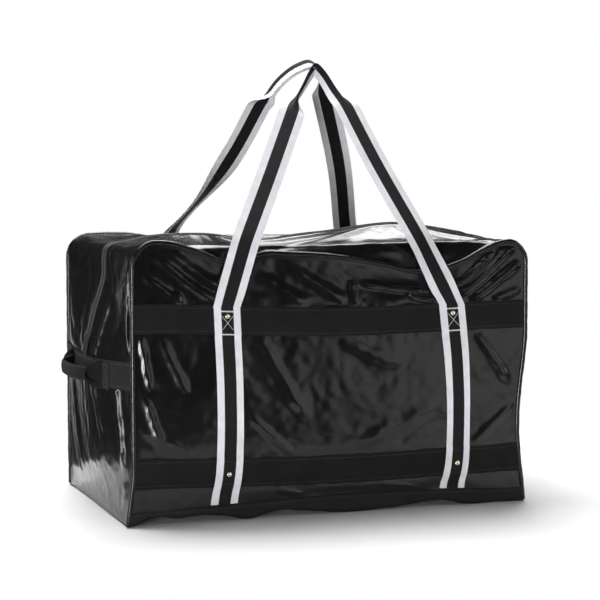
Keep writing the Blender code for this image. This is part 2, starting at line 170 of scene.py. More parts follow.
# How far each line of a face comes up (down where it is negative), along its length
SAG = {
    FRONT: {
        "edge": through((-0.42, 0.004), (-0.38, 0.008), (-0.34, 0.006), (-0.29, -0.008), (-0.19, -0.034),
                        (-0.155, -0.020), (-0.08, -0.019), (0, -0.025), (0.10, -0.042), (0.20, -0.060),
                        (0.265, -0.046), (0.36, -0.004), (0.42, 0)),
        "upper": through((-0.42, 0.0095), (0, -0.0065), (0.42, -0.0025)),
        "lower": through((-0.42, 0.0055), (0, -0.005), (0.42, -0.002)),
        "lip": through((-0.42, -0.001), (-0.30, 0.001), (-0.18, 0.004), (0, 0.009), (0.20, 0.007), (0.42, 0)),
        "foot": through((-0.42, 0), (-0.36, 0.017), (-0.32, 0.011), (-0.275, 0.015), (-0.225, 0.010),
                        (-0.17, 0.001), (-0.125, 0.013), (-0.05, 0.008), (0.02, 0.001), (0.13, 0.004),
                        (0.24, 0.012), (0.29, 0.001), (0.35, 0.001), (0.42, 0)),
    },
    REAR: {
        "edge": through((-0.42, 0), (-0.28, 0), (-0.18, -0.022), (-0.05, -0.012), (0.1, -0.018),
                        (0.2, -0.030), (0.36, -0.002), (0.42, 0)),
        "upper": through((-0.42, 0.004), (0, -0.006), (0.42, 0.004)),
        "lower": through((-0.42, 0.003), (0, -0.004), (0.42, 0.003)),
        "lip": through((-0.42, 0), (0, 0.005), (0.42, 0)),
        "foot": through((-0.42, 0), (-0.25, 0.010), (-0.1, 0.003), (0.08, 0.011), (0.22, 0.004),
                        (0.33, 0.010), (0.42, 0)),
    },
}
# How far the top edge leans in, how far the top's ridge stands up, and how far the ends bulge out
LEAN = through((-0.42, 0), (-0.36, 0), (-0.19, 0.008), (0, 0.008), (0.20, 0.012), (0.30, 0.006), (0.40, 0))
RIDGE = through((-0.42, 0), (-0.39, -0.0045), (-0.30, 0.008), (-0.20, 0.010), (-0.07, -0.004), (0.01, 0.006),
                (0.08, 0.0125), (0.14, 0.0205), (0.22, 0.027), (0.31, 0.017), (0.38, 0.005), (0.42, 0))
END_BULGE = {
    LEFT: through((0, 0.004), (0.10, 0.015), (0.20, 0.023), (0.32, 0.0245), (0.40, 0.006), (0.48, -0.0145),
                  (0.51, -0.012), (0.5375, 0)),
    RIGHT: through((0, 0.003), (0.10, 0.012), (0.20, 0.016), (0.28, 0.010), (0.335, 0), (0.5375, 0)),
}
LINES = ("foot", "lip", "lip", "lower", "lower", "upper", "upper", "edge")
LINE_HEIGHTS = (0.004, 0.020, 0.032, LOWER_BAND - HALF_BAND, LOWER_BAND + HALF_BAND,
                UPPER_BAND - HALF_BAND, UPPER_BAND + HALF_BAND, TOP_Z)


def face_shift(face, x, z):
    """How far a place on the flat front or rear has moved: along X, outwards, and up."""
    x, z = np.broadcast_arrays(np.asarray(x, float), np.asarray(z, float))
    up = SAG[face][LINES[0]](x)
    for low, high, line in zip(LINE_HEIGHTS, LINE_HEIGHTS[1:], LINES[1:]):
        share = ease((z - low) / (high - low))
        up = up * (1 - share) + SAG[face][line](x) * share
    out = (0.007 * hill(z, 0.24, 0.24) * hill(x, 0.05, 0.50)
           + 0.004 * hill(z, 0.23, 0.15) * hill(x, -0.30, 0.15)
           - LEAN(x) * ease((z - 0.425) / (TOP_Z - 0.425)) - 0.004 * hill(z, 0.0, 0.06) * hill(x, 0, 0.42))
    left_end, right_end = ease((-x - 0.15) / 0.27), ease((x - 0.18) / 0.24)
    if face == FRONT:
        along = 0.011 * left_end * ease(z / 0.10) - 0.016 * hill(z, 0.17, 0.19) * right_end
    else:
        along = -0.010 * left_end - 0.006 * hill(z, 0.20, 0.19) * right_end
    return along, out, up


def face_point(face, x, z, out=0.0):
    """A place on the front or rear as it hangs, this far outside the vinyl's middle."""
    along, outwards, up = face_shift(face, x, z)
    return np.stack(np.broadcast_arrays(x + along, face * (FACE_Y + out + outwards), z + up), axis=-1)


def girth():
    """The flat places (x, z) up the left end, over the top and down the right end, by distance.

    With them, the whole length and the lengths of an end's straight rise and of its corner.
    """
    radius = CORNER - 0.0025
    rise = HEIGHT - CORNER
    arc = math.pi / 2 * radius
    top = 2 * (HALF_LENGTH - CORNER)
    total = 2 * rise + 2 * arc + top

    def at(s):
        s = np.asarray(s, float)
        flip = s > total / 2
        t = np.where(flip, total - s, s)
        turn = np.clip((t - rise) / radius, 0, math.pi / 2)
        x = np.where(t < rise, -END_X, -(HALF_LENGTH - CORNER) - radius * np.cos(turn))
        x = np.where(t > rise + arc, -(HALF_LENGTH - CORNER) + (t - rise - arc), x)
        z = np.where(t < rise, t, rise + radius * np.sin(turn))
        return np.where(flip, -x, x), z
    return at, total, rise, arc


GIRTH, GIRTH_LENGTH, RISE, ARC = girth()
TOP_START = RISE + ARC  # where the top begins, along the girth


def girth_point(s, y, out=0.0):
    """A place on the strip that makes the ends and the top, as it sags between its piping and the zip."""
    s, y = np.broadcast_arrays(np.asarray(s, float), np.asarray(y, float))
    x, z = GIRTH(s)
    t = np.abs(y) / SEAM_Y
    on_top = ease((FLAP_X + 0.012 - np.abs(x)) / 0.05)
    bulge = np.where(x < 0, END_BULGE[LEFT](z), END_BULGE[RIGHT](z))
    edge_x, edge_y, edge_z = np.where(y < 0, face_shift(FRONT, x, z), face_shift(REAR, x, z))
    fold = FOLD_Y / SEAM_Y
    dome = np.clip(1 - t ** 1.7, 0, 1)
    tent = np.clip(1 - (t / fold) ** 1.25, 0, 1)
    slope = ease((t - fold) / (1 - fold))
    mid = dome * (1 - on_top) + tent * on_top
    rim = (1 - dome) * (1 - on_top) + slope * on_top
    point = np.stack([x + mid * np.sign(x) * bulge + rim * edge_x, y + rim * np.sign(y) * edge_y,
                      z + mid * RIDGE(x) + rim * edge_z], axis=-1)
    if np.any(out):
        point = point + outward_of_girth(s)[..., None, :].reshape(*s.shape, 3) * np.asarray(out)[..., None]
    return point


def outward_of_girth(s):
    """The direction out of the bag at a distance along the girth."""
    x0, z0 = GIRTH(s - 0.001)
    x1, z1 = GIRTH(s + 0.001)
    length = np.hypot(x1 - x0, z1 - z0)
    return np.stack([-(z1 - z0) / length, np.zeros_like(s), (x1 - x0) / length], axis=-1)


# ---------------------------------------------------------------- grids of points

def grid_normals(points, towards):
    """Unit normals of a grid of points, on the side that this direction is on."""
    du = np.gradient(points, axis=0)
    dv = np.gradient(points, axis=1)
    normals = np.cross(du, dv)
    normals /= np.maximum(np.linalg.norm(normals, axis=-1, keepdims=True), 1e-12)
    sign = np.sign((normals * np.asarray(towards)).sum(axis=-1).mean())
    return normals * (sign or 1.0)


def finer(points):
    """A grid with twice as many rows and columns, on curves through the given points."""
    for axis in (0, 1):
        rows = np.moveaxis(points, axis, 0)
        points = np.moveaxis(curve(rows, np.arange((len(rows) - 1) * 2 + 1) / 2), 0, axis)
    return points


def grid_quads(nu, nv):
    """The numbers of a grid's points, and its faces."""
    index = np.arange(nu * nv).reshape(nu, nv)
    corners = (index[:-1, :-1], index[1:, :-1], index[1:, 1:], index[:-1, 1:])
    return index, np.stack(corners, axis=-1).reshape(-1, 4)


def ring_faces(rings, sides, first=0, clockwise=False):
    """Faces round a stack of rings of points, closed at both ends."""
    faces = []
    for i in range(rings - 1):
        for k in range(sides):
            a = first + i * sides + k
            b = first + i * sides + (k + 1) % sides
            faces.append((a, a + sides, b + sides, b) if clockwise else (a, b, b + sides, a + sides))
    start = tuple(range(first, first + sides))
    end = tuple(range(first + (rings - 1) * sides, first + rings * sides))
    return faces + ([start, end[::-1]] if clockwise else [start[::-1], end])


def crinkle(places, scale, height, seed):
    """Sharp little creases for places given in metres: one height for each."""
    offset = Vector((seed * 7.3, seed * 3.1, seed * 1.7))
    made = np.array([noise.ridged_multi_fractal(Vector(p) / scale + offset, 0.9, 2.1, 3, 0.9, 1.8)
                     for p in places.reshape(-1, 3)])
    return ((made - made.mean()) * height).reshape(places.shape[:-1])


def new_mesh(name, points, faces, uvs=None, normals=None):
    mesh = bpy.data.meshes.new(name)
    mesh.from_pydata(np.asarray(points).reshape(-1, 3).tolist(), [], [list(f) for f in faces])
    mesh.shade_smooth()
    if uvs is not None:
        layer = mesh.uv_layers.new(name="UVMap")
        corners = np.empty(len(mesh.loops), np.int32)
        mesh.loops.foreach_get("vertex_index", corners)
        layer.data.foreach_set("uv", np.asarray(uvs, np.float32).reshape(-1, 2)[corners].ravel())
    if normals is not None:
        mesh.normals_split_custom_set_from_vertices(np.asarray(normals).reshape(-1, 3).tolist())
    obj = bpy.data.objects.new(name, mesh)
    bpy.context.scene.collection.objects.link(obj)
    return obj


def shell(name, mid, normals, thickness):
    """A closed sheet round a grid of points, with rounded edges. UVs are metres along and across the grid."""
    nu, nv = mid.shape[:2]
    half = thickness / 2
    along = distances(mid[:, nv // 2])
    across = np.cumsum(np.linalg.norm(np.diff(mid, axis=1), axis=-1), axis=1)
    across = np.concatenate([np.zeros((nu, 1)), across], axis=1) - across[:, -1:] / 2
    uv = np.stack([np.repeat(along[:, None], nv, axis=1), across], axis=-1)
    ring = [(i, 0) for i in range(nu)] + [(nu - 1, j) for j in range(1, nv)]
    ring += [(i, nv - 1) for i in range(nu - 2, -1, -1)] + [(0, j) for j in range(nv - 2, 0, -1)]
    edge = []
    for i, j in ring:
        inner = (min(max(i, 1), nu - 2) if nu > 2 else i, min(max(j, 1), nv - 2) if nv > 2 else j)
        away = mid[i, j] - mid[inner]
        edge.append(mid[i, j] + away / max(np.linalg.norm(away), 1e-9) * half * 0.9)
    points = np.concatenate([(mid + normals * half).reshape(-1, 3), (mid - normals * half).reshape(-1, 3),
                             np.array(edge)])
    uvs = np.concatenate([uv.reshape(-1, 2), uv.reshape(-1, 2), np.array([uv[i, j] for i, j in ring])])
    index, quads = grid_quads(nu, nv)
    du = mid[nu // 2, nv // 2] - mid[nu // 2 - 1, nv // 2]
    dv = mid[nu // 2, nv // 2] - mid[nu // 2, nv // 2 - 1]
    flipped = np.dot(np.cross(du, dv), normals[nu // 2, nv // 2]) < 0
    if flipped:
        quads = quads[:, ::-1]
    faces = quads.tolist() + (quads[:, ::-1] + nu * nv).tolist()
    first = 2 * nu * nv
    for k in range(len(ring)):
        n = (k + 1) % len(ring)
        a, b = index[ring[k]], index[ring[n]]
        e, f = first + k, first + n
        for quad in ((a, b, f, e), (e, f, b + nu * nv, a + nu * nv)):
            faces.append([int(corner) for corner in (quad if flipped else quad[::-1])])
    edge_normals = np.array([normals[i, j] for i, j in ring])
    custom = np.concatenate([normals.reshape(-1, 3), -normals.reshape(-1, 3), edge_normals])
    return new_mesh(name, points, faces, uvs, custom)


def tube(name, path, radius, sides):
    """A round cord along points, closed at both ends. UVs are metres along and round it."""
    ahead = np.gradient(path, axis=0)
    ahead /= np.linalg.norm(ahead, axis=-1, keepdims=True)
    side = np.cross(ahead, (0.0, 1.0, 0.0))
    weak = np.linalg.norm(side, axis=-1) < 0.2
    side[weak] = np.cross(ahead[weak], (1.0, 0.0, 0.0))
    side /= np.linalg.norm(side, axis=-1, keepdims=True)
    up = np.cross(side, ahead)
    angles = np.arange(sides) / sides * 2 * math.pi
    radius = np.broadcast_to(radius, len(path)).reshape(-1, 1, 1)
    rings = path[:, None] + radius * (side[:, None] * np.cos(angles)[None, :, None]
                                      + up[:, None] * np.sin(angles)[None, :, None])
    uvs = np.stack(np.meshgrid(distances(path), angles * float(radius.mean()), indexing="ij"), axis=-1)
    return new_mesh(name, rings, ring_faces(len(path), sides, clockwise=True), uvs)


class Threads:
    """Collects short stitches and teeth, and makes one mesh of them."""

    def __init__(self):
        self.points = []
        self.faces = []

    def bar(self, start, end, normal, radius, lift=0.0, sides=5, bulge=1.0):
        """A thread from start to end that dips into the cloth at both ends."""
        start, end, normal = (np.asarray(v, float) for v in (start, end, normal))
        ahead = end - start
        ahead /= max(np.linalg.norm(ahead), 1e-9)
        side = np.cross(ahead, normal)
        side /= max(np.linalg.norm(side), 1e-9)
        up = np.cross(side, ahead)
        first = len(self.points)
        stations = ((0.0, 0.35, -0.7), (0.2, 0.95, 0.2), (0.5, 1.0, 0.45 * bulge), (0.8, 0.95, 0.2),
                    (1.0, 0.35, -0.7))
        for share, thick, rise in stations:
            centre = start + (end - start) * share + up * (lift + rise * radius)
            for k in range(sides):
                angle = 2 * math.pi * k / sides
                self.points.append(centre + radius * thick * (side * math.cos(angle) + up * math.sin(angle)))
        self.faces += ring_faces(len(stations), sides, first)

    def run(self, points, normals, kind):
        """Stitches of one kind along a line of points, with one normal for them all or one for each."""
        pitch, share, radius, lift = STITCHING[kind]
        normals = np.broadcast_to(np.asarray(normals, float), points.shape)
        along = distances(points)
        count = max(int(along[-1] / pitch), 1)
        step = along[-1] / count
        for k in range(count):
            start, end = (k + (1 - share) / 2) * step, (k + (1 + share) / 2) * step
            self.bar(at_distance(start, along, points), at_distance(end, along, points),
                     at_distance(start, along, normals), radius, lift)

    def make(self, name):
        return new_mesh(name, np.array(self.points), self.faces)


# ---------------------------------------------------------------- cloth

WEIGHT_LEVELS = 50


def simulate(name, start, pinned, towards, grow, frames, push, bend, most):
    """A grid of points after it has buckled as cloth that is a little too large for its pinned places.

    grow is a grid too: by what share the cloth is too large at each place. No place moves further than most.
    """
    nu, nv = start.shape[:2]
    quads = grid_quads(nu, nv)[1]
    if np.dot(np.cross(start[1, 0] - start[0, 0], start[0, 1] - start[0, 0]), towards) < 0:
        quads = quads[:, ::-1]
    obj = new_mesh(name, start, quads.tolist())
    for group_name, weights in (("pinned", pinned), ("slack", grow / grow.max())):
        group = obj.vertex_groups.new(name=group_name)
        levels = (weights.ravel() * WEIGHT_LEVELS).round().astype(int)
        for level in range(1, WEIGHT_LEVELS + 1):
            group.add(np.flatnonzero(levels == level).tolist(), level / WEIGHT_LEVELS, "REPLACE")
    cloth = obj.modifiers.new("cloth", "CLOTH")
    settings = cloth.settings
    settings.quality = 6
    settings.mass = 0.35
    settings.air_damping = 3.0
    settings.tension_stiffness = 40
    settings.compression_stiffness = 40
    settings.shear_stiffness = 20
    settings.bending_stiffness = bend
    settings.vertex_group_mass = "pinned"
    settings.pin_stiffness = 1.0
    settings.vertex_group_shrink = "slack"
    settings.shrink_min = 0.0
    settings.shrink_max = -float(grow.max())
    settings.effector_weights.gravity = 0.15
    settings.use_pressure = True
    settings.uniform_pressure_force = push
    cloth.collision_settings.use_collision = False
    cloth.point_cache.frame_start = 1
    cloth.point_cache.frame_end = frames
    scene = bpy.context.scene
    for number in range(1, frames + 1):
        scene.frame_set(number)
    evaluated = obj.evaluated_get(bpy.context.evaluated_depsgraph_get())
    found = np.empty(nu * nv * 3)
    evaluated.data.vertices.foreach_get("co", found)
    found = found.reshape(nu, nv, 3)
    bpy.data.objects.remove(obj, do_unlink=True)
    scene.frame_set(1)
    moved = found - start
    length = np.linalg.norm(moved, axis=-1, keepdims=True)
    return start + moved * np.minimum(1, most / np.maximum(length, 1e-9))


def folded(flat, folds):
    """How far soft folds raise places on a flat panel. A fold is (start, end, width, height)."""
    raised = np.zeros(flat.shape[:-1])
    for start, end, width, height in folds:
        a, b = np.array(start), np.array(end)
        line = b - a
        share = ((flat - a) @ line) / (line @ line)
        nearest = a + np.clip(share, 0, 1)[..., None] * line
        distance = np.linalg.norm(flat - nearest, axis=-1)
        taper = ease((share + 0.15) / 0.35) * ease((1.15 - share) / 0.35)
        raised += height * np.exp(-(distance / width) ** 2) * taper
    return raised


def roughen(places, height, seed):
    """A little seeded unevenness, so that the cloth buckles its own way."""
    made = [noise.noise(Vector(p) * 22 + Vector((seed, 0, 0))) + 0.6 * noise.noise(Vector(p) * 55)
            for p in places.reshape(-1, 3)]
    return (np.array(made) * height).reshape(places.shape[:-1])


# ---------------------------------------------------------------- materials

class Tree:
    """A node tree, with short ways to add to it."""

    def __init__(self, tree):
        self.nodes, self.links = tree.nodes, tree.links

    def node(self, kind, **values):
        made = self.nodes.new(kind)
        for key, value in values.items():
            if key in made.inputs:
                made.inputs[key].default_value = value
            else:
                setattr(made, key, value)
        return made

    def fill(self, sockets, values):
        """Gives each socket its constant or its link."""
        for socket, value in zip(sockets, values):
            if isinstance(value, (int, float, tuple)):
                socket.default_value = value
            elif value is not None:
                self.links.new(value, socket)

    def maths(self, operation, first, second=None):
        made = self.node("ShaderNodeMath", operation=operation)
        self.fill(made.inputs, (first, second))
        return made.outputs[0]

    def mix(self, factor, first, second, kind="MIX"):
        made = self.node("ShaderNodeMix", data_type="RGBA", blend_type=kind)
        self.fill((made.inputs[0], made.inputs[6], made.inputs[7]), (factor, first, second))
        return made.outputs[2]

    def ramp(self, factor, *stops, between="LINEAR"):
        """Colours or grey levels that go with the values of a factor."""
        made = self.node("ShaderNodeValToRGB")
        made.color_ramp.interpolation = between
        while len(made.color_ramp.elements) < len(stops):
            made.color_ramp.elements.new(0.5)
        for element, (place, value) in zip(made.color_ramp.elements, stops):
            element.position = place
            element.color = (*value, 1.0) if isinstance(value, tuple) else (value, value, value, 1.0)
        self.links.new(factor, made.inputs[0])
        return made.outputs[0]

    def place(self, name="Object"):
        return self.node("ShaderNodeTexCoord").outputs[name]

    def split(self, vector):
        made = self.node("ShaderNodeSeparateXYZ")
        self.links.new(vector, made.inputs[0])
        return made.outputs


class Finish(Tree):
    """A Principled material."""

    def __init__(self, name, colour, roughness, metallic=0.0):
        self.material = bpy.data.materials.new(name)
        self.material.use_nodes = True
        super().__init__(self.material.node_tree)
        self.set("Base Color", (*colour, 1.0))
        self.set("Roughness", roughness)
        self.set("Metallic", metallic)

    def set(self, socket, value):
        """Gives a socket of the shader its constant or its link."""
        self.fill([self.nodes["Principled BSDF"].inputs[socket]], [value])

    def noise(self, scale, detail=3.0, roughness=0.5):
        made = self.node("ShaderNodeTexNoise", Scale=scale, Detail=detail, Roughness=roughness)
        self.links.new(self.place(), made.inputs["Vector"])
        return made.outputs[0]

    def bump(self, height, strength, distance, before=None):
        made = self.node("ShaderNodeBump", Strength=strength, Distance=distance)
        self.fill((made.inputs["Height"], made.inputs["Normal"]), (height, before))
        return made.outputs[0]

    def ribs(self, length_pitch, width_pitch, slant=0.0):
        """The height of a woven surface, from 0 to 1, with its ribs at these pitches in metres."""
        along, across = self.split(self.place("UV"))[:2]
        if slant:
            along = self.maths("ADD", along, self.maths("MULTIPLY", across, slant))
        rows = self.maths("SINE", self.maths("MULTIPLY", along, 2 * math.pi / length_pitch))
        columns = self.maths("SINE", self.maths("MULTIPLY", across, 2 * math.pi / width_pitch))
        return self.maths("MULTIPLY_ADD", self.maths("MULTIPLY", rows, columns), 0.5)


def vinyl():
    """Glossy black coated tarpaulin: a faint woven grain under the gloss, small dents and handling marks."""
    m = Finish("glossy_vinyl", (0.006, 0.006, 0.0065), 0.28)
    m.set("Specular IOR Level", 0.40)
    m.set("Roughness", m.ramp(m.noise(9.0, 5.0, 0.6), (0.30, 0.15), (0.62, 0.24), (0.80, 0.33)))
    m.set("Base Color",
          m.ramp(m.noise(60, 4.0), (0.3, (0.003, 0.003, 0.0033)), (0.8, (0.006, 0.006, 0.0065))))
    dents = m.bump(m.noise(38, 4.0, 0.55), 0.10, 0.004)
    grain = m.node("ShaderNodeTexVoronoi", Scale=700.0)
    m.links.new(m.place(), grain.inputs["Vector"])
    m.set("Normal", m.bump(grain.outputs["Distance"], 0.10, 0.0004, dents))
    return m.material


def black_webbing():
    """Matte black webbing with a fine rib along its length."""
    m = Finish("black_webbing", (0.006, 0.006, 0.006), 0.8)
    m.set("Specular IOR Level", 0.16)
    m.set("Sheen Weight", 0.02)
    m.set("Sheen Roughness", 0.5)
    m.set("Base Color", m.ramp(m.noise(30, 4.0, 0.6), (0.3, 0.0045), (0.75, (0.009, 0.0088, 0.0086))))
    m.set("Normal", m.bump(m.ribs(0.0018, 0.0014), 0.5, 0.0006))
    return m.material


def striped_webbing():
    """White-edged webbing with a black middle and a diagonal twill, with painted shade that darkens the
    twill's grooves.
    """
    m = Finish("striped_webbing", (0.6, 0.6, 0.6), 0.72)
    m.set("Specular IOR Level", 0.2)
    out = m.maths("ABSOLUTE", m.split(m.place("UV"))[1])
    edge = STRAP_WIDTH / 2 * BLACK_SHARE
    stripe = m.node("ShaderNodeMapRange")
    wander = m.maths("MULTIPLY", m.noise(260, 2.0), 0.0006)
    m.fill(stripe.inputs, (m.maths("ADD", out, wander), edge, edge + 0.0005))
    cloth = m.noise(45, 5.0, 0.6)
    white = m.ramp(cloth, (0.30, (0.62, 0.62, 0.66)), (0.70, (0.74, 0.74, 0.77)))
    black = m.ramp(cloth, (0.30, (0.0045, 0.0045, 0.005)), (0.75, (0.009, 0.009, 0.0095)))
    twill = m.ribs(0.0022, 0.0030, slant=1.0)
    # painted shade: the colour is multiplied darker where the twill's height is low, in its grooves, on top
    # of the bump
    shade = m.ramp(twill, (0.0, 0.86), (0.6, 1.0))
    m.set("Base Color", m.mix(1.0, m.mix(stripe.outputs[0], black, white), shade, "MULTIPLY"))
    m.set("Normal", m.bump(twill, 0.45, 0.0006))
    return m.material


def base_cloth():
    """Matte black fabric, finely speckled."""
    m = Finish("base_fabric", (0.006, 0.006, 0.006), 0.7)
    m.set("Specular IOR Level", 0.25)
    m.set("Base Color", m.ramp(m.noise(25, 4.0), (0.3, 0.005), (0.7, 0.009)))
    m.set("Normal", m.bump(m.noise(420, 2.0), 0.4, 0.0006))
    return m.material


def tape_cloth():
    """Finely woven black tape."""
    m = Finish("zip_tape", (0.007, 0.007, 0.007), 0.75)
    m.set("Specular IOR Level", 0.2)
    m.set("Base Color", m.ramp(m.noise(50), (0.3, 0.005), (0.7, 0.010)))
    m.set("Normal", m.bump(m.ribs(0.0012, 0.0012), 0.5, 0.0005))
    return m.material


def plastic(name, colour, roughness):
    m = Finish(name, colour, roughness)
    m.set("Roughness", m.ramp(m.noise(300, 2.0), (0.3, roughness * 0.8), (0.7, min(roughness * 1.25, 1))))
    m.set("Normal", m.bump(m.noise(900, 2.0), 0.15, 0.0003))
    return m.material


def thread(name, colour):
    m = Finish(name, colour, 0.6)
    m.set("Sheen Weight", 0.15)
    m.set("Normal", m.bump(m.noise(1500, 1.0), 0.3, 0.0003))
    return m.material


def metal(name, colour, roughness):
    m = Finish(name, colour, roughness, 1.0)
    m.set("Roughness", m.ramp(m.noise(220, 4.0, 0.6), (0.3, roughness * 0.7), (0.75, roughness * 1.6)))
    m.set("Normal", m.bump(m.noise(500, 3.0), 0.08, 0.0004))
    return m.material


MATERIALS = {
    "gloss_vinyl": vinyl(),
    "base_fabric": base_cloth(),
    "black_webbing": black_webbing(),
    "striped_webbing": striped_webbing(),
    "zip_tape": tape_cloth(),
    "zip_coil": plastic("zip_coil", (0.014, 0.014, 0.014), 0.25),
    "slider_metal": metal("slider_metal", (0.045, 0.045, 0.048), 0.35),
    "rivet_metal": metal("rivet_metal", (0.80, 0.72, 0.55), 0.22),
    "rivet_dimple": metal("rivet_dimple", (0.62, 0.44, 0.20), 0.30),
    "white_thread": thread("white_thread", (0.72, 0.72, 0.74)),
    "black_thread": thread("black_thread", (0.015, 0.015, 0.015)),
    "grey_thread": thread("grey_thread", (0.17, 0.17, 0.175)),
}


def dress(obj, slot, body=None, nodes=(), material=None):
    """Gives a piece its material and slot, parents it to the body it rides on, and hides the model's parts
    that it stands for.
    """
    obj.data.materials.append(MATERIALS[material or slot])
    if body:
        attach(obj, body)
    if nodes:
        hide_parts(*nodes)
    return obj


# ---------------------------------------------------------------- the front and the rear

def face_half_width(z, inset):
    """Half the face's width at a height, inside its rounded upper corners."""
    radius = CORNER - inset
    over = np.clip(z - (HEIGHT - CORNER), 0, radius)
    return HALF_LENGTH - CORNER + np.sqrt(np.maximum(radius ** 2 - over ** 2, 0))


# Each strap's x at a height
STRAPS = {
    FRONT: {"left": through((0.03, -0.2265), (0.092, -0.219), (0.25, -0.2165), (0.39, -0.2215),
                            (0.42, -0.2225)),
            "right": through((0.03, 0.2565), (0.092, 0.268), (0.20, 0.272), (0.30, 0.264), (0.39, 0.2535),
                             (0.42, 0.2510))},
    REAR: {"left": through((0.03, -0.240), (0.20, -0.246), (0.42, -0.238)),
           "right": through((0.03, 0.240), (0.25, 0.236), (0.42, 0.241))},
}

# Folds in the vinyl, from one place (x, z) to another, with their width and height
FACE_FOLDS = {
    FRONT: [
        ((-0.375, 0.510), (-0.245, 0.425), 0.011, 0.007), ((-0.350, 0.520), (-0.235, 0.465), 0.016, 0.006),
        ((-0.395, 0.470), (-0.320, 0.422), 0.008, 0.004), ((-0.330, 0.440), (-0.318, 0.420), 0.006, 0.004),
        ((-0.150, 0.490), (-0.060, 0.425), 0.012, 0.005), ((-0.080, 0.505), (0.020, 0.430), 0.014, 0.005),
        ((0.045, 0.425), (0.040, 0.480), 0.007, 0.005), ((0.060, 0.478), (0.200, 0.462), 0.010, 0.006),
        ((0.165, 0.440), (0.215, 0.425), 0.008, 0.006), ((0.180, 0.475), (0.165, 0.440), 0.007, 0.005),
        ((0.385, 0.525), (0.275, 0.440), 0.009, 0.008), ((0.400, 0.490), (0.300, 0.425), 0.009, 0.007),
        ((0.340, 0.520), (0.270, 0.475), 0.007, 0.006), ((0.405, 0.440), (0.345, 0.420), 0.008, 0.004),
        ((-0.400, 0.350), (-0.385, 0.260), 0.006, 0.006), ((-0.392, 0.240), (-0.360, 0.140), 0.007, 0.006),
        ((-0.360, 0.350), (-0.310, 0.250), 0.010, 0.005), ((-0.400, 0.180), (-0.300, 0.135), 0.010, 0.004),
        ((-0.150, 0.350), (-0.060, 0.200), 0.012, 0.005), ((-0.170, 0.200), (-0.090, 0.130), 0.008, 0.005),
        ((0.020, 0.350), (0.140, 0.300), 0.014, 0.005), ((0.060, 0.150), (0.220, 0.210), 0.016, 0.005),
        ((0.310, 0.350), (0.390, 0.250), 0.009, 0.005), ((0.400, 0.200), (0.310, 0.130), 0.010, 0.006),
        ((-0.120, 0.060), (-0.060, 0.035), 0.008, 0.003), ((0.100, 0.060), (0.180, 0.035), 0.008, 0.003),
    ],
    REAR: [
        ((0.375, 0.510), (0.250, 0.430), 0.012, 0.007), ((-0.370, 0.515), (-0.260, 0.425), 0.011, 0.007),
        ((-0.100, 0.500), (0.020, 0.430), 0.014, 0.006), ((0.080, 0.490), (0.200, 0.430), 0.011, 0.006),
        ((-0.380, 0.330), (-0.290, 0.160), 0.013, 0.006), ((0.380, 0.330), (0.300, 0.160), 0.012, 0.006),
        ((-0.160, 0.340), (-0.020, 0.170), 0.015, 0.005), ((0.040, 0.150), (0.190, 0.330), 0.014, 0.005),
    ],
}


def face_vinyl(face):
    """The vinyl front or rear: held by piping, bands, straps and base, and free to crumple between them."""
    word = FACES[face]
    inset = 2 * PIPING - 0.0012
    zs = np.linspace(0.006, HEIGHT - inset, 76)
    shares = np.linspace(-1, 1, 118)
    x = shares[None, :] * face_half_width(zs, inset)[:, None]
    z = np.repeat(zs[:, None], len(shares), axis=1)
    flat = np.stack([x, z], axis=-1)
    held = np.zeros_like(x)
    held[:, :2] = held[:, -2:] = held[-2:] = 1
    held[z < BASE_LIP] = 1
    for band in (UPPER_BAND, LOWER_BAND):
        held = np.maximum(held, ease((HALF_BAND + 0.002 - np.abs(z - band)) / 0.006))
    for path in STRAPS[face].values():
        held = np.maximum(held, ease((0.029 - np.abs(x - path(z))) / 0.008) * (z < STRAP_TOP))
    loose = 1 - held
    places = face_point(face, x, z)
    raised = 0.7 * folded(flat, FACE_FOLDS[face]) + roughen(places, 0.0012, 3 + face)
    start = face_point(face, x, z, loose * raised)
    grow = 0.010 + 0.012 * ease((z - UPPER_BAND) / 0.05)
    done = simulate(f"{word}_sheet", start, held, (0, face, 0), grow, 26, 0.25, 5.0, 0.014)
    smooth = finer(done)
    normals = grid_normals(smooth, (0, face, 0))
    free = finer(loose).clip(0, 1)
    smooth = smooth + normals * (free * crinkle(smooth, 0.070, 0.00035, 5 + face))[..., None]
    normals = grid_normals(smooth, (0, face, 0))
    obj = dress(shell(f"{word}_vinyl", smooth, normals, VINYL), "gloss_vinyl", "bag", [f"{word}_panel"])


def face_piping(face):
    """The covered cord round a face's sides and top."""
    word = FACES[face]
    radius = CORNER - PIPING
    side = HALF_LENGTH - PIPING
    turn = np.linspace(0, math.pi / 2, 14)
    rise = np.linspace(0.004, HEIGHT - CORNER, 60)[:-1]
    top = np.linspace(-(HALF_LENGTH - CORNER), HALF_LENGTH - CORNER, 130)[1:-1]
    left = [(-side, z) for z in rise]
    left += [(-(HALF_LENGTH - CORNER) - radius * math.cos(a), HEIGHT - CORNER + radius * math.sin(a))
             for a in turn]
    right = [(-x, z) for x, z in reversed(left)]
    flat = np.array(left + [(x, HEIGHT - PIPING) for x in top] + right)
    path = face_point(face, flat[:, 0], flat[:, 1], -0.0008)
    along = np.arange(len(path))
    path[:, 2] += 0.0004 * np.sin(along * 1.7) * (along % 5 == 0)
    swell = 1.45 * PIPING * (1 + 0.05 * np.sin(along * 0.9) + 0.04 * np.sin(along * 2.3 + 1))
    dress(tube(f"{word}_piping_cord", path, swell, 12), "gloss_vinyl", "bag", [f"{word}_piping"])


def band_offset(z):
    """How far outside the vinyl's middle a strap lies: over the bands, or on the vinyl."""
    over = np.maximum(*(ease((HALF_BAND + 0.008 - np.abs(z - band)) / 0.01)
                        for band in (UPPER_BAND, LOWER_BAND)))
    return 0.0024 + 0.0018 * over


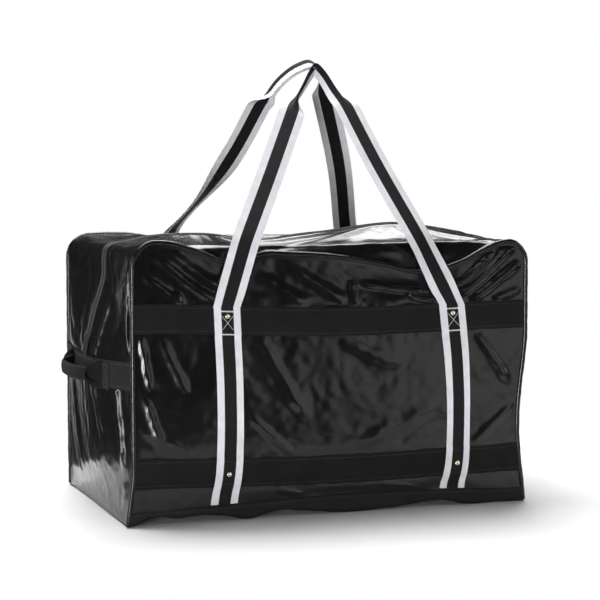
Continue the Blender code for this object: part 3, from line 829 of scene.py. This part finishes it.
def face_bands(face):
    """The two black bands across a face, puckered a little along their stitched edges."""
    word = FACES[face]
    stitches = Threads()
    half = HALF_LENGTH - 2 * PIPING
    x, v = np.meshgrid(np.linspace(-half, half, 190), np.linspace(-1, 1, 11), indexing="ij")
    edge = np.abs(v) ** 3
    for level, height in (("upper", UPPER_BAND), ("lower", LOWER_BAND)):
        seed = 11 * height + face
        pucker = [noise.noise(Vector((px * 40, pv * 1.5, seed * 9))) for px, pv in zip(x.flat, v.flat)]
        pucker = np.array(pucker).reshape(x.shape)
        z = height + v * BAND_WIDTH / 2 + pucker * 0.0016 * edge
        out = 0.0019 + 0.0005 * (1 - edge) + pucker * 0.0008 * edge
        mid = face_point(face, x, z, out)
        normals = grid_normals(mid, (0, face, 0))
        dress(shell(f"{word}_{level}_webbing", mid, normals, BAND), "black_webbing", "bag",
              [f"{word}_{level}_band"])
        for row in (1, -2):
            stitches.run(mid[:, row], normals[:, row], "band")
    dress(stitches.make(f"{word}_band_stitches"), "black_webbing", "bag", material="black_thread")


def strap_grid(face, side, low, high, rows):
    """Places on a strap: its middle surface and its normals, from one flat height to another."""
    z, v = np.meshgrid(np.linspace(low, high, rows), np.linspace(-1, 1, 13), indexing="ij")
    x = STRAPS[face][side](z) + v * STRAP_WIDTH / 2
    mid = face_point(face, x, z, band_offset(z) + 0.0002 * (1 - v ** 2))
    return mid, grid_normals(mid, (0, face, 0))


def on_strap(face, side, v, z, lift=0.0):
    """One place on a strap's outer face: across from -1 to 1, at a flat height."""
    x = float(STRAPS[face][side](z)) + v * STRAP_WIDTH / 2
    return face_point(face, x, z, float(band_offset(z)) + STRAP / 2 + lift)


def sewn_straps(face):
    """The two straps sewn down a face, with their box stitches."""
    word = FACES[face]
    white, black = Threads(), Threads()

    def sew(threads, kind, start, end, count):
        """Stitches between two places (across, height) on the strap."""
        (v0, z0), (v1, z1) = start, end
        line = [on_strap(face, side, v0 + (v1 - v0) * t, z0 + (z1 - z0) * t)
                for t in np.linspace(0, 1, count)]
        threads.run(np.array(line), (0, face, 0), kind)

    for side in SIDES.values():
        mid, normals = strap_grid(face, side, 0.004 + BASE_LIP, STRAP_TOP, 150)
        dress(shell(f"{word}_{side}_webbing", mid, normals, STRAP), "striped_webbing", "bag",
              [f"{word}_{side}_strap"])
        top, foot = UPPER_BAND + 0.018, UPPER_BAND - 0.0265
        for z in (top, top - 0.0013, foot, foot - 0.0013):
            sew(white, "box", (-BLACK_STITCH_EDGE, z), (BLACK_STITCH_EDGE, z), 9)
        for v in (CROSS_STITCH_EDGE, -CROSS_STITCH_EDGE):
            sew(white, "cross", (-v, UPPER_BAND + 0.0085), (v, UPPER_BAND - 0.019), 9)
        for v in (-0.93, 0.93):
            sew(white, "strap", (v, 0.034), (v, UPPER_BAND - 0.03), 60)
        for z in (LOWER_BAND - 0.022, LOWER_BAND + 0.022):
            sew(black, "strap_foot", (-BLACK_STITCH_EDGE, z), (BLACK_STITCH_EDGE, z), 9)
    dress(white.make(f"{word}_strap_stitches"), "striped_webbing", "bag", material="white_thread")
    dress(black.make(f"{word}_strap_dark_stitches"), "black_webbing", "bag", material="black_thread")


def turned(name, profile, place, facing, steps=28):
    """A piece turned round its own axis, which points the way that it faces."""
    points = []
    for radius, height in profile:
        for k in range(steps):
            angle = 2 * math.pi * k / steps
            points.append((radius * math.cos(angle), radius * math.sin(angle), height))
    turn = Vector(facing).to_track_quat("Z", "Y").to_matrix()
    placed = [list(turn @ Vector(p) + Vector(place)) for p in points]
    return new_mesh(name, placed, ring_faces(len(profile), steps))


def rivets(face):
    """Rivets through the straps: a pale domed ring with a darker dimple. Profiles are (radius, height)."""
    word = FACES[face]
    ring = [(0.0049, 0.0), (0.0050, 0.0009), (0.0046, 0.0018), (0.0037, 0.0023), (0.0028, 0.0021),
            (0.0023, 0.0014), (0.0021, 0.0010)]
    dimple = [(0.0022, 0.0007), (0.0021, 0.0011), (0.0014, 0.0008), (0.0006, 0.0006), (0.0002, 0.00055)]
    for side in SIDES.values():
        for level, z in RIVET_HEIGHTS.items():
            place = on_strap(face, side, 0.0, z)
            name = f"{word}_{side}_{level}_rivet"
            dress(turned(f"{name}_cap", ring, place, (0, face, 0)), "rivet_metal", "bag", [name])
            dress(turned(f"{name}_dimple", dimple, place, (0, face, 0)), "rivet_metal", "bag",
                  material="rivet_dimple")


def base():
    """The base fabric, which turns up the front and the rear as a low lip with a stitched edge."""
    corner = 0.006
    front = [(-FACE_Y - OVER_VINYL, z) for z in np.linspace(BASE_LIP, corner, 7)]
    turn = np.linspace(0, math.pi / 2, 6)[1:]
    front += [(-FACE_Y - OVER_VINYL + corner * (1 - math.cos(a)), corner * (1 - math.sin(a)) + BASE / 2)
              for a in turn]
    rear = [(-y, z) for y, z in reversed(front)]
    flat = [(y, BASE / 2) for y in np.linspace(-FACE_Y + 0.008, FACE_Y - 0.008, 30)]
    profile = np.array(front + flat + rear)
    xs = np.linspace(-HALF_LENGTH + 0.002, HALF_LENGTH - 0.002, 170)
    x = np.repeat(xs[:, None], len(profile), axis=1)
    y = np.repeat(profile[None, :, 0], len(xs), axis=0)
    z = np.repeat(profile[None, :, 1], len(xs), axis=0)
    shift = np.where(y < 0, face_shift(FRONT, x, z), face_shift(REAR, x, z))
    near = ease((np.abs(y) - 0.15) / (FACE_Y - 0.15))
    mid = np.stack([x + shift[0] * near, y + np.sign(y) * shift[1] * near, z + shift[2] * near], axis=-1)
    normals = grid_normals(mid, (0, 0, 1))
    normals = normals * np.sign((normals * np.stack([x * 0, y, z - 0.05], axis=-1)).sum(-1).mean())
    obj = dress(shell("base_cloth", mid, normals, BASE), "base_fabric", "bag", ["base_panel"])
    stitches = Threads()
    for face in FACES:
        line = face_point(face, xs, np.full_like(xs, BASE_LIP - 0.0045), OVER_VINYL + BASE / 2)
        stitches.run(line, (0, face, 0), "base")
    dress(stitches.make("base_stitches"), "base_fabric", "bag", material="black_thread")


# ---------------------------------------------------------------- the ends and the top

GIRTH_FOLDS = [  # (distance along the girth, y)
    ((0.10, -0.20), (0.30, -0.17), 0.010, 0.006), ((0.33, -0.225), (0.50, -0.215), 0.008, 0.006),
    ((0.14, -0.10), (0.26, -0.05), 0.012, 0.005), ((0.33, 0.06), (0.50, 0.10), 0.014, 0.007),
    ((0.30, -0.06), (0.44, -0.09), 0.012, 0.006), ((0.05, 0.08), (0.25, 0.15), 0.014, 0.006),
    ((0.45, 0.20), (0.52, 0.12), 0.010, 0.005), ((0.44, -0.10), (0.52, -0.05), 0.008, 0.005),
]


def upward_normals(points):
    """Normals of the strip, on the side that is up at its middle."""
    normals = grid_normals(points, (0, 0, 1))
    return -normals if normals[len(points) // 2, points.shape[1] // 2, 2] < 0 else normals


def girth_sheet():
    """The ends and the top as one strip of vinyl from base to base, crumpled as cloth, with its normals."""
    stations = np.concatenate([
        np.linspace(0.003, RISE, 72)[:-1], np.linspace(RISE, TOP_START, 11)[:-1],
        np.linspace(TOP_START, GIRTH_LENGTH - TOP_START, 109)[:-1],
        np.linspace(GIRTH_LENGTH - TOP_START, GIRTH_LENGTH - RISE, 11)[:-1],
        np.linspace(GIRTH_LENGTH - RISE, GIRTH_LENGTH - 0.003, 72)])
    fold_steps = np.linspace(-SEAM_Y, -FOLD_Y, 6)[:-1]
    half = np.concatenate([fold_steps, np.linspace(-FOLD_Y, -TAPE_HALF, 28)])
    ys = np.concatenate([half, [-TAPE_HALF / 2, 0, TAPE_HALF / 2], -half[::-1]])
    s, y = np.meshgrid(stations, ys, indexing="ij")
    z = GIRTH(s)[1]
    held = np.zeros_like(s)
    held[:, :2] = held[:, -2:] = 1
    held[:2] = held[-2:] = 1
    on_end = (s < RISE) | (s > GIRTH_LENGTH - RISE)
    zipped = ~on_end | (z > ZIP_END - 0.02)
    held = np.maximum(held, ease((TAPE_HALF + 0.012 - np.abs(y)) / 0.008) * zipped)
    held = np.maximum(held, ease((END_BAND_WIDTH / 2 + 0.004 - np.abs(z - END_BAND)) / 0.008) * on_end)
    loose = 1 - held
    flat = np.stack([s, y], axis=-1)
    places = np.stack([s, y, 0 * s], axis=-1)
    raised = 0.8 * folded(flat, GIRTH_FOLDS) + roughen(places, 0.0014, 17)
    start = girth_point(s, y, loose * raised)
    grow = np.where(on_end, 0.010, 0.030)
    outward = outward_of_girth(stations)[len(stations) // 3]
    done = simulate("girth_sheet", start, held, outward, grow, 26, 0.2, 4.0, 0.016)
    near_fold = hill(np.abs(y), FOLD_Y, 0.035) * ~on_end
    done = start + (done - start) * (1 - 0.75 * near_fold)[..., None]
    smooth = finer(done)
    free = finer(loose).clip(0, 1)
    smooth = smooth + upward_normals(smooth) * (free * crinkle(smooth, 0.070, 0.0004, 23))[..., None]
    return finer(s), finer(y), smooth, upward_normals(smooth)


def cut(points, rows, columns):
    """The part of a grid between two rows and two columns."""
    return points[rows[0]:rows[1] + 1, columns[0]:columns[1] + 1]


def nearest(values, target):
    return int(np.argmin(np.abs(values - target)))


def ends_and_top():
    """The vinyl of the ends and the top: the strip is cut where the bag's pieces part."""
    s, y, points, normals = girth_sheet()
    rows, columns = s[:, 0], y[0]
    top = (nearest(rows, TOP_START), nearest(rows, GIRTH_LENGTH - TOP_START))
    last = len(rows) - 1
    centre = nearest(rows, GIRTH_LENGTH / 2)
    edge = {FRONT: (0, nearest(columns, -FOLD_Y)), REAR: (nearest(columns, FOLD_Y), len(columns) - 1)}
    tape_edge = TAPE_HALF + 0.0005
    flap = {FRONT: (edge[FRONT][1], nearest(columns, -tape_edge)),
            REAR: (nearest(columns, tape_edge), edge[REAR][0])}
    for side, span in ((LEFT, (0, top[0])), (RIGHT, (top[1], last))):
        word = SIDES[side]
        whole = (0, len(columns) - 1)
        obj = shell(f"{word}_end_vinyl", cut(points, span, whole), cut(normals, span, whole), VINYL)
        dress(obj, "gloss_vinyl", "bag", [f"{word}_end_panel"])
    for face, word in FACES.items():
        obj = shell(f"top_{word}_margin_vinyl", cut(points, top, edge[face]),
                    cut(normals, top, edge[face]), VINYL)
        dress(obj, "gloss_vinyl", "bag", [f"top_{word}_margin"])
        for side, span in ((LEFT, (top[0], centre)), (RIGHT, (centre, top[1]))):
            name = f"top_{word}_{SIDES[side]}_vinyl"
            obj = shell(name, cut(points, span, flap[face]), cut(normals, span, flap[face]), VINYL)
            dress(obj, "gloss_vinyl", nodes=[f"top_{word}_flap"])
            bend_flap(obj)


def bend_flap(obj):
    """Bakes a flap piece's placement into its mesh, and nothing more."""
    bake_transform(obj)


TOOTH_PITCH = 0.0024
TAPE = 0.0008
TAPE_LIFT = 0.0012  # of the tape's middle over the vinyl's
COIL_LIFT = 0.0016


def tape_strip(low, high, inner, outer, lift, columns, count):
    """A strip of zip tape along the girth between two distances, with its normals."""
    s, y = np.meshgrid(np.linspace(low, high, count), np.linspace(inner, outer, columns), indexing="ij")
    mid = girth_point(s, y)
    normals = grid_normals(mid, (0, 0, 1))
    outward = outward_of_girth(s[:, 0])[:, None, :]
    sign = np.sign((normals * outward).sum(-1, keepdims=True))
    normals = normals * np.where(sign == 0, 1, sign)
    return mid + normals * lift, normals


def teeth(threads, line, normals, across, reach):
    """Coil teeth across the zip along a line."""
    along = distances(line)
    count = int(along[-1] / TOOTH_PITCH)
    for k in range(count):
        at = (k + 0.5) * along[-1] / count
        place = at_distance(at, along, line)
        threads.bar(place + across * reach[0], place + across * reach[1], at_distance(at, along, normals),
                    0.0007, 0.0004, 6, 2.2)


def zips():
    """Tape, coil and stitches: one strip down each end, and two halves on each flap."""
    start = RISE - (HEIGHT - CORNER - ZIP_END) - 0.012
    across = np.array((0.0, 1.0, 0.0))
    for side, word in SIDES.items():
        low, high = (start, TOP_START) if side == LEFT else (GIRTH_LENGTH - TOP_START, GIRTH_LENGTH - start)
        mid, normals = tape_strip(low, high, -TAPE_HALF - 0.002, TAPE_HALF + 0.002, TAPE_LIFT, 13, 70)
        dress(shell(f"{word}_end_tape", mid, normals, TAPE), "zip_tape", "bag", [f"{word}_end_zip_tape"])
        coil, stitches = Threads(), Threads()
        centre, up = tape_strip(low, high, -0.0001, 0.0001, COIL_LIFT, 3, 90)
        for reach in ((-0.0042, 0.0008), (-0.0008, 0.0042)):
            teeth(coil, centre[:, 1], up[:, 1], across, reach)
        dress(coil.make(f"{word}_end_coil"), "zip_coil", "bag", [f"{word}_end_zip_coil"])
        for column in (1, 3, -4, -2):
            stitches.run(mid[:, column], normals[:, column], "end_tape")
        dress(stitches.make(f"{word}_end_tape_stitches"), "zip_tape", "bag", material="grey_thread")
    half = GIRTH_LENGTH / 2
    for face, face_word in FACES.items():
        for side, word in SIDES.items():
            low, high = (TOP_START, half) if side == LEFT else (half, GIRTH_LENGTH - TOP_START)
            name = f"top_{face_word}_{word}"
            mid, normals = tape_strip(low, high, face * (TAPE_HALF + 0.002), face * 0.0003, TAPE_LIFT, 7, 110)
            tape = dress(shell(f"{name}_tape", mid, normals, TAPE), "zip_tape",
                         nodes=[f"top_{face_word}_zip_tape"])
            coil, stitches = Threads(), Threads()
            line, up = tape_strip(low, high, face * 0.0002, face * 0.0004, COIL_LIFT, 3, 120)
            teeth(coil, line[:, 1], up[:, 1], across * face, (-0.0002, 0.0042))
            coil = dress(coil.make(f"{name}_coil"), "zip_coil", nodes=[f"top_{face_word}_zip_coil"])
            for column in (1, 3):
                stitches.run(mid[:, column], normals[:, column], "flap_tape")
            stitches = dress(stitches.make(f"{name}_tape_stitches"), "zip_tape", material="grey_thread")
            for obj in (tape, coil, stitches):
                bend_flap(obj)


# ---------------------------------------------------------------- the ends' webbing

def end_place(side, z, y, out):
    """A place on an end at a height, this far outside the vinyl's middle."""
    s = z if side == LEFT else GIRTH_LENGTH - z
    point = girth_point(s, y)
    point[..., 0] += side * out
    return point


def end_webbing():
    """The band across each end, and the tab over the zip's lower end."""
    for side, word in SIDES.items():
        half = SEAM_Y - 0.001
        y, v = np.meshgrid(np.linspace(-half, half, 100), np.linspace(-1, 1, 11), indexing="ij")
        z = END_BAND + v * END_BAND_WIDTH / 2
        mid = end_place(side, z, y, OVER_VINYL + 0.0005 * (1 - v ** 2))
        normals = grid_normals(mid, (side, 0, 0))
        dress(shell(f"{word}_end_webbing", mid, normals, BAND), "black_webbing", "bag", [f"{word}_end_band"])
        stitches = Threads()
        for row in (1, -2):
            stitches.run(mid[:, row], normals[:, row], "band")
        y, z = np.meshgrid(np.linspace(-0.0175, 0.0175, 9), np.linspace(END_BAND + 0.024, ZIP_END, 9),
                           indexing="ij")
        mid = end_place(side, z, y, 0.0030)
        normals = grid_normals(mid, (side, 0, 0))
        dress(shell(f"{word}_zip_tab", mid, normals, TAB), "black_webbing", "bag", [f"{word}_zip_end_tab"])
        stitches.run(mid[:, -2], normals[:, -2], "tab")
        dress(stitches.make(f"{word}_end_band_stitches"), "black_webbing", "bag", material="black_thread")


GRAB_SPAN = 0.150
GRAB_PINCH = 0.090  # the loop's edges have come together inside this distance from the middle
GRAB_MOUTH = 0.122  # where they begin to
GRAB_HALF_LINE = 0.11785714  # the row where pad and loop meet
PAD_OUT = 0.0042


def grab_handle(side):
    """A loop of webbing whose edges fold to the front and meet between two sewn pads."""
    word = SIDES[side]
    reach = through((0.0, 0.050), (0.045, 0.048), (0.080, 0.038), (0.105, 0.020), (0.125, 0.0), (0.15, 0.0))
    y, v = np.meshgrid(np.linspace(-GRAB_SPAN, GRAB_SPAN, 141), np.linspace(-1, 1, 25), indexing="ij")
    away = np.abs(y)
    closed = ease((GRAB_MOUTH - away) / (GRAB_MOUTH - GRAB_PINCH))
    half = END_BAND_WIDTH / 2
    turn = closed * math.pi * 0.96
    flat = np.minimum(np.abs(v), 0.5)
    bent = np.maximum(np.abs(v) - 0.5, 0)
    across = half * (flat + bent * np.cos(turn))
    forward = half * bent * np.sin(turn) + 0.0028 * closed * ease(bent / 0.12)
    z = END_BAND + np.sign(v) * across
    sewn = end_place(side, np.full_like(y, END_BAND), y, 0.0)[..., 0] * side + PAD_OUT
    out = np.maximum(sewn, np.where(away < 0.125, GRAB_X + reach(away) + 0.004, 0)) + forward
    mid = np.stack([side * out, y, z], axis=-1)
    normals = grid_normals(mid, (side, 0, 0))
    stitches = Threads()
    low, high = 0.126, GRAB_SPAN - 0.004
    corners = {"a": (low, -0.8), "b": (low, 0.8), "c": (high, -0.8), "d": (high, 0.8)}
    for end in (FRONT, REAR):
        rows = np.flatnonzero(y[:, 0] * end > GRAB_HALF_LINE - 1e-6)
        span = slice(rows[0], rows[-1] + 1)
        obj = shell(f"{word}_grab_{FACES[end]}_webbing", mid[span], normals[span], STRAP)
        dress(obj, "black_webbing", "bag", [f"{word}_grab_{FACES[end]}_pad"])
        for first, second in ("ab", "cd", "ad", "bc", "ac", "bd"):
            (y0, v0), (y1, v1) = corners[first], corners[second]
            ts = np.linspace(0, 1, 9)
            line = end_place(side, np.full_like(ts, END_BAND), end * (y0 + (y1 - y0) * ts),
                             PAD_OUT + STRAP / 2)
            line[:, 2] = END_BAND + (v0 + (v1 - v0) * ts) * half
            stitches.run(line, (side, 0, 0), "grab")
    dress(stitches.make(f"{word}_grab_stitches"), "black_webbing", "bag", material="black_thread")
    for end in (FRONT, REAR):
        rows = np.flatnonzero((y[:, 0] * end > -1e-6) & (y[:, 0] * end <= GRAB_HALF_LINE + 1e-6))
        span = slice(rows[0], rows[-1] + 1)
        obj = shell(f"{word}_grab_{FACES[end]}_loop", mid[span], normals[span], STRAP)
        dress(obj, "black_webbing", nodes=[f"{word}_grab_loop"])
        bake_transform(obj)


# ---------------------------------------------------------------- the carry handles

# Each handle's middle line as (x, z), from its left riser over the grip to its right one
HANDLES = {
    FRONT: [(-0.182, 0.545), (-0.104, 0.672), (-0.030, 0.796), (-0.009, 0.832), (0.010, 0.858),
            (0.029, 0.884), (0.046, 0.899), (0.062, 0.882), (0.076, 0.850), (0.090, 0.816), (0.128, 0.690),
            (0.180, 0.545)],
    REAR: [(-0.196, 0.545), (-0.132, 0.632), (-0.088, 0.716), (-0.057, 0.800), (-0.046, 0.830),
           (-0.030, 0.862), (-0.008, 0.886), (0.014, 0.900), (0.038, 0.906), (0.062, 0.888), (0.080, 0.850),
           (0.156, 0.690), (0.206, 0.545)],
}
APEX_OFFSET = 0.008  # how far each handle stays from the bag's middle plane at its top
HANDLE_WIDTH = 0.0515
# Heights between which the webbing folds lengthwise, on the left and on the right of the grip
FOLDED = {FRONT: ((0.792, 0.840), (0.804, 0.860)), REAR: ((0.808, 0.850), (0.834, 0.878))}
# How far the folded grip's ridge turns up from facing outwards: on the left, in the middle and on the right
RIDGE_TURN = {FRONT: (-5, 26, 34), REAR: (10, 13, 20)}
FOLD_ANGLE = math.radians(82)
LOOP_START = 0.48  # the height where a riser's piece ends and the loop's begins


def handle_slope(face):
    """How far a handle leans over the bag for each metre that it rises."""
    return (STRAP_Y - APEX_OFFSET) / (np.array(HANDLES[face])[:, 1].max() - TURN)


def handle_line(face):
    """The handle's middle line from stitch to stitch: up the riser, over the top and down again."""
    points = np.array(HANDLES[face])
    over = curve(points, np.linspace(0, len(points) - 1, 400))
    lean = np.maximum(over[:, 1] - TURN, 0) * handle_slope(face)
    over = np.stack([over[:, 0], face * (STRAP_Y - lean), over[:, 1]], axis=-1)
    ends = []
    for side, turn in (("left", over[0]), ("right", over[-1])):
        x = float(STRAPS[face][side](STRAP_TOP))
        foot = face_point(face, x, STRAP_TOP, float(band_offset(STRAP_TOP)))
        ends.append(foot + (turn - foot) * np.linspace(0, 1, 60)[:, None])
    line = np.concatenate([ends[0][:-1], over, ends[1][::-1][1:]])
    for _ in range(30):
        line[1:-1] = line[1:-1] * 0.5 + (line[:-2] + line[2:]) * 0.25
    along = distances(line)
    return at_distance(np.linspace(0, along[-1], 341), along, line)


def twist_of_leg(face, line, rising):
    """The rear handle's left leg turns on itself low down."""
    if face == FRONT:
        return np.zeros(len(line))
    return math.radians(42) * hill(line[:, 2], 0.585, 0.115) * rising


def handle_webbing(face):
    """One strip of striped webbing, folded in half lengthwise at the grip."""
    word = FACES[face]
    line = handle_line(face)
    ahead = np.gradient(line, axis=0)
    ahead /= np.linalg.norm(ahead, axis=-1, keepdims=True)
    slope = handle_slope(face)
    lean = ease((line[:, 2] - STRAP_TOP) / 0.15)[:, None]
    flat_out = np.array([0.0, face, 0.0])
    leaning = np.array([0.0, face, slope]) / math.hypot(1.0, slope)
    facing = flat_out * (1 - lean) + leaning * lean
    facing -= (facing * ahead).sum(-1, keepdims=True) * ahead
    facing /= np.linalg.norm(facing, axis=-1, keepdims=True)
    upward = np.cross(ahead, facing) * face
    apex = int(np.argmax(line[:, 2]))
    rising = np.arange(len(line)) <= apex
    (left_low, left_high), (right_low, right_high) = FOLDED[face]
    low, high = np.where(rising, left_low, right_low), np.where(rising, left_high, right_high)
    fold = ease((line[:, 2] - low) / (high - low))[:, None]
    share = np.interp(np.arange(len(line)), [0, apex, len(line) - 1], [0, 0.5, 1])
    turn = np.radians(np.interp(share, (0.40, 0.5, 0.60), RIDGE_TURN[face]))[:, None] * fold
    turn = turn + twist_of_leg(face, line, rising)[:, None]
    ridge = facing * np.cos(turn) + upward * np.sin(turn)
    lateral = upward * np.cos(turn) - facing * np.sin(turn)
    level = np.array([1.0, 0.0, 0.0]) * np.sign(lateral[:, :1])
    sewn = ease((line[:, 2:3] - STRAP_TOP) / 0.045)
    lateral = lateral * sewn + level * (1 - sewn)
    v = np.linspace(-1, 1, 25)[None]
    half = (STRAP_WIDTH + (HANDLE_WIDTH - STRAP_WIDTH) * ease((line[:, 2:3] - STRAP_TOP) / 0.15)) / 2
    angle = fold * FOLD_ANGLE
    round_ridge = np.sqrt(v ** 2 + 0.004) - math.sqrt(0.004)
    cup = 0.0006 * (1 - fold) * (1 - v ** 2)
    mid = (line[:, None] + lateral[:, None] * (np.cos(angle) * v * half)[..., None]
           + ridge[:, None] * (cup - np.sin(angle) * round_ridge * half)[..., None])
    normals = grid_normals(mid, (0, face, 0))
    normals = normals * np.sign((normals * ridge[:, None]).sum(-1).mean())
    low = int(np.argmax(line[:, 2] > LOOP_START))
    high = len(line) - 1 - int(np.argmax(line[::-1, 2] > LOOP_START))
    spans = {"left_riser": (0, low), "loop": (low, high), "right_riser": (high, len(line) - 1)}
    for part, (start, end) in spans.items():
        obj = shell(f"{word}_{part}_webbing", mid[start:end + 1], normals[start:end + 1], STRAP)
        if part == "loop":
            dress(obj, "striped_webbing", nodes=[f"{word}_handle"])
            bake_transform(obj)
        else:
            dress(obj, "striped_webbing", nodes=[f"{word}_{part}"])
            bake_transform(obj)


# ---------------------------------------------------------------- metal

def metalwork():
    """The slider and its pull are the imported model's own solids: they only get their material."""
    for node in ("zip_slider", "zip_pull"):
        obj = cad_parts[node]
        if not obj.material_slots:
            obj.data.materials.append(None)
        for slot in obj.material_slots:
            slot.link = "OBJECT"
            slot.material = MATERIALS["slider_metal"]


# ---------------------------------------------------------------- stage

def soft_light(name, place, target, size, power):
    data = bpy.data.lights.new(name, "AREA")
    data.shape = "RECTANGLE"
    data.size, data.size_y = size
    data.energy = power
    obj = bpy.data.objects.new(name, data)
    obj.visible_camera = False
    bpy.context.scene.collection.objects.link(obj)
    obj.location = place
    obj.rotation_euler = (Vector(target) - Vector(place)).to_track_quat("-Z", "Y").to_euler()


BACKDROP = (0.42, 0.90, 0.0)  # the direction of the white card's middle, behind the bag


def studio():
    """The world: white behind the bag, and in reflections a dim room with one white card and a dark floor."""
    world = bpy.data.worlds.new("studio")
    bpy.context.scene.world = world
    world.use_nodes = True
    w = Tree(world.node_tree)
    way = w.place("Generated")
    towards = w.node("ShaderNodeVectorMath", operation="DOT_PRODUCT")
    w.fill(towards.inputs, (way, BACKDROP))
    card = w.ramp(towards.outputs["Value"], (0.80, 0.0), (0.93, 1.0), between="EASE")
    low = w.ramp(w.maths("ADD", w.split(way)["Z"], 0.5), (0.44, 1.0), (0.56, 0.0), between="EASE")
    room = w.mix(1.0, w.mix(1.0, card, low, "MULTIPLY"), (0.035, 0.035, 0.037, 1), "ADD")
    seen = w.node("ShaderNodeLightPath").outputs["Is Camera Ray"]
    w.fill(w.nodes["Background"].inputs, (w.mix(seen, room, (1, 1, 1, 1)), 1.0))


def stage():
    """A pale floor, the world and the lights."""
    outline = [(-0.74, -0.78), (1.45, -0.78), (1.45, 0.95), (0.10, 0.95), (-0.74, 0.20)]
    floor = new_mesh("floor", np.array([(x, y, 0) for x, y in outline]), [tuple(range(len(outline)))])
    floor.location.z = -0.0005
    m = Finish("pale_floor", (0.86, 0.86, 0.86), 0.9)
    m.set("Base Color", m.ramp(m.noise(2.0), (0.3, 0.85), (0.7, 0.87)))
    floor.data.materials.append(m.material)
    studio()
    soft_light("top_box", (-0.2, 0.9, 3.0), (0, 0.3, 0), (3.4, 1.8), 190)
    soft_light("back_box", (0.9, 2.6, 2.5), (0, 0, 0.5), (2.6, 0.5), 36)
    soft_light("left_box", (-2.6, 0.9, 0.6), (-0.4, 0, 0.3), (0.35, 1.8), 22)
    soft_light("front_box", (-0.9, -3.6, 3.0), (0, 0, 0.3), (2.2, 1.0), 12)
    soft_light("low_box", (-2.3, -3.3, -0.05), (0, 0, 0.5), (0.8, 1.8), 138)
    soft_light("card_box", (2.1, -3.4, 0.3), (0.2, 0, 0.3), (1.9, 1.9), 14)
    soft_light("right_box", (2.8, -1.6, 1.2), (0.1, 0, 0.3), (0.8, 1.6), 12)
    bpy.context.scene.view_settings.view_transform = "Standard"


def photo_camera():
    data = bpy.data.cameras.new("photo_view")
    data.lens = 108.7
    data.sensor_width = 36
    obj = bpy.data.objects.new("photo_view", data)
    bpy.context.scene.collection.objects.link(obj)
    obj.location = (-1.222, -3.575, 0.722)
    obj.rotation_euler = (math.radians(90 - 4.77), 0, math.radians(-19.07))
    bpy.context.scene.camera = obj


# ---------------------------------------------------------------- assembly

photo_camera()
for face in FACES:
    face_piping(face)
    face_vinyl(face)
    face_bands(face)
    sewn_straps(face)
    rivets(face)
    handle_webbing(face)
base()
ends_and_top()
zips()
end_webbing()
for side in SIDES:
    grab_handle(side)
metalwork()
stage()
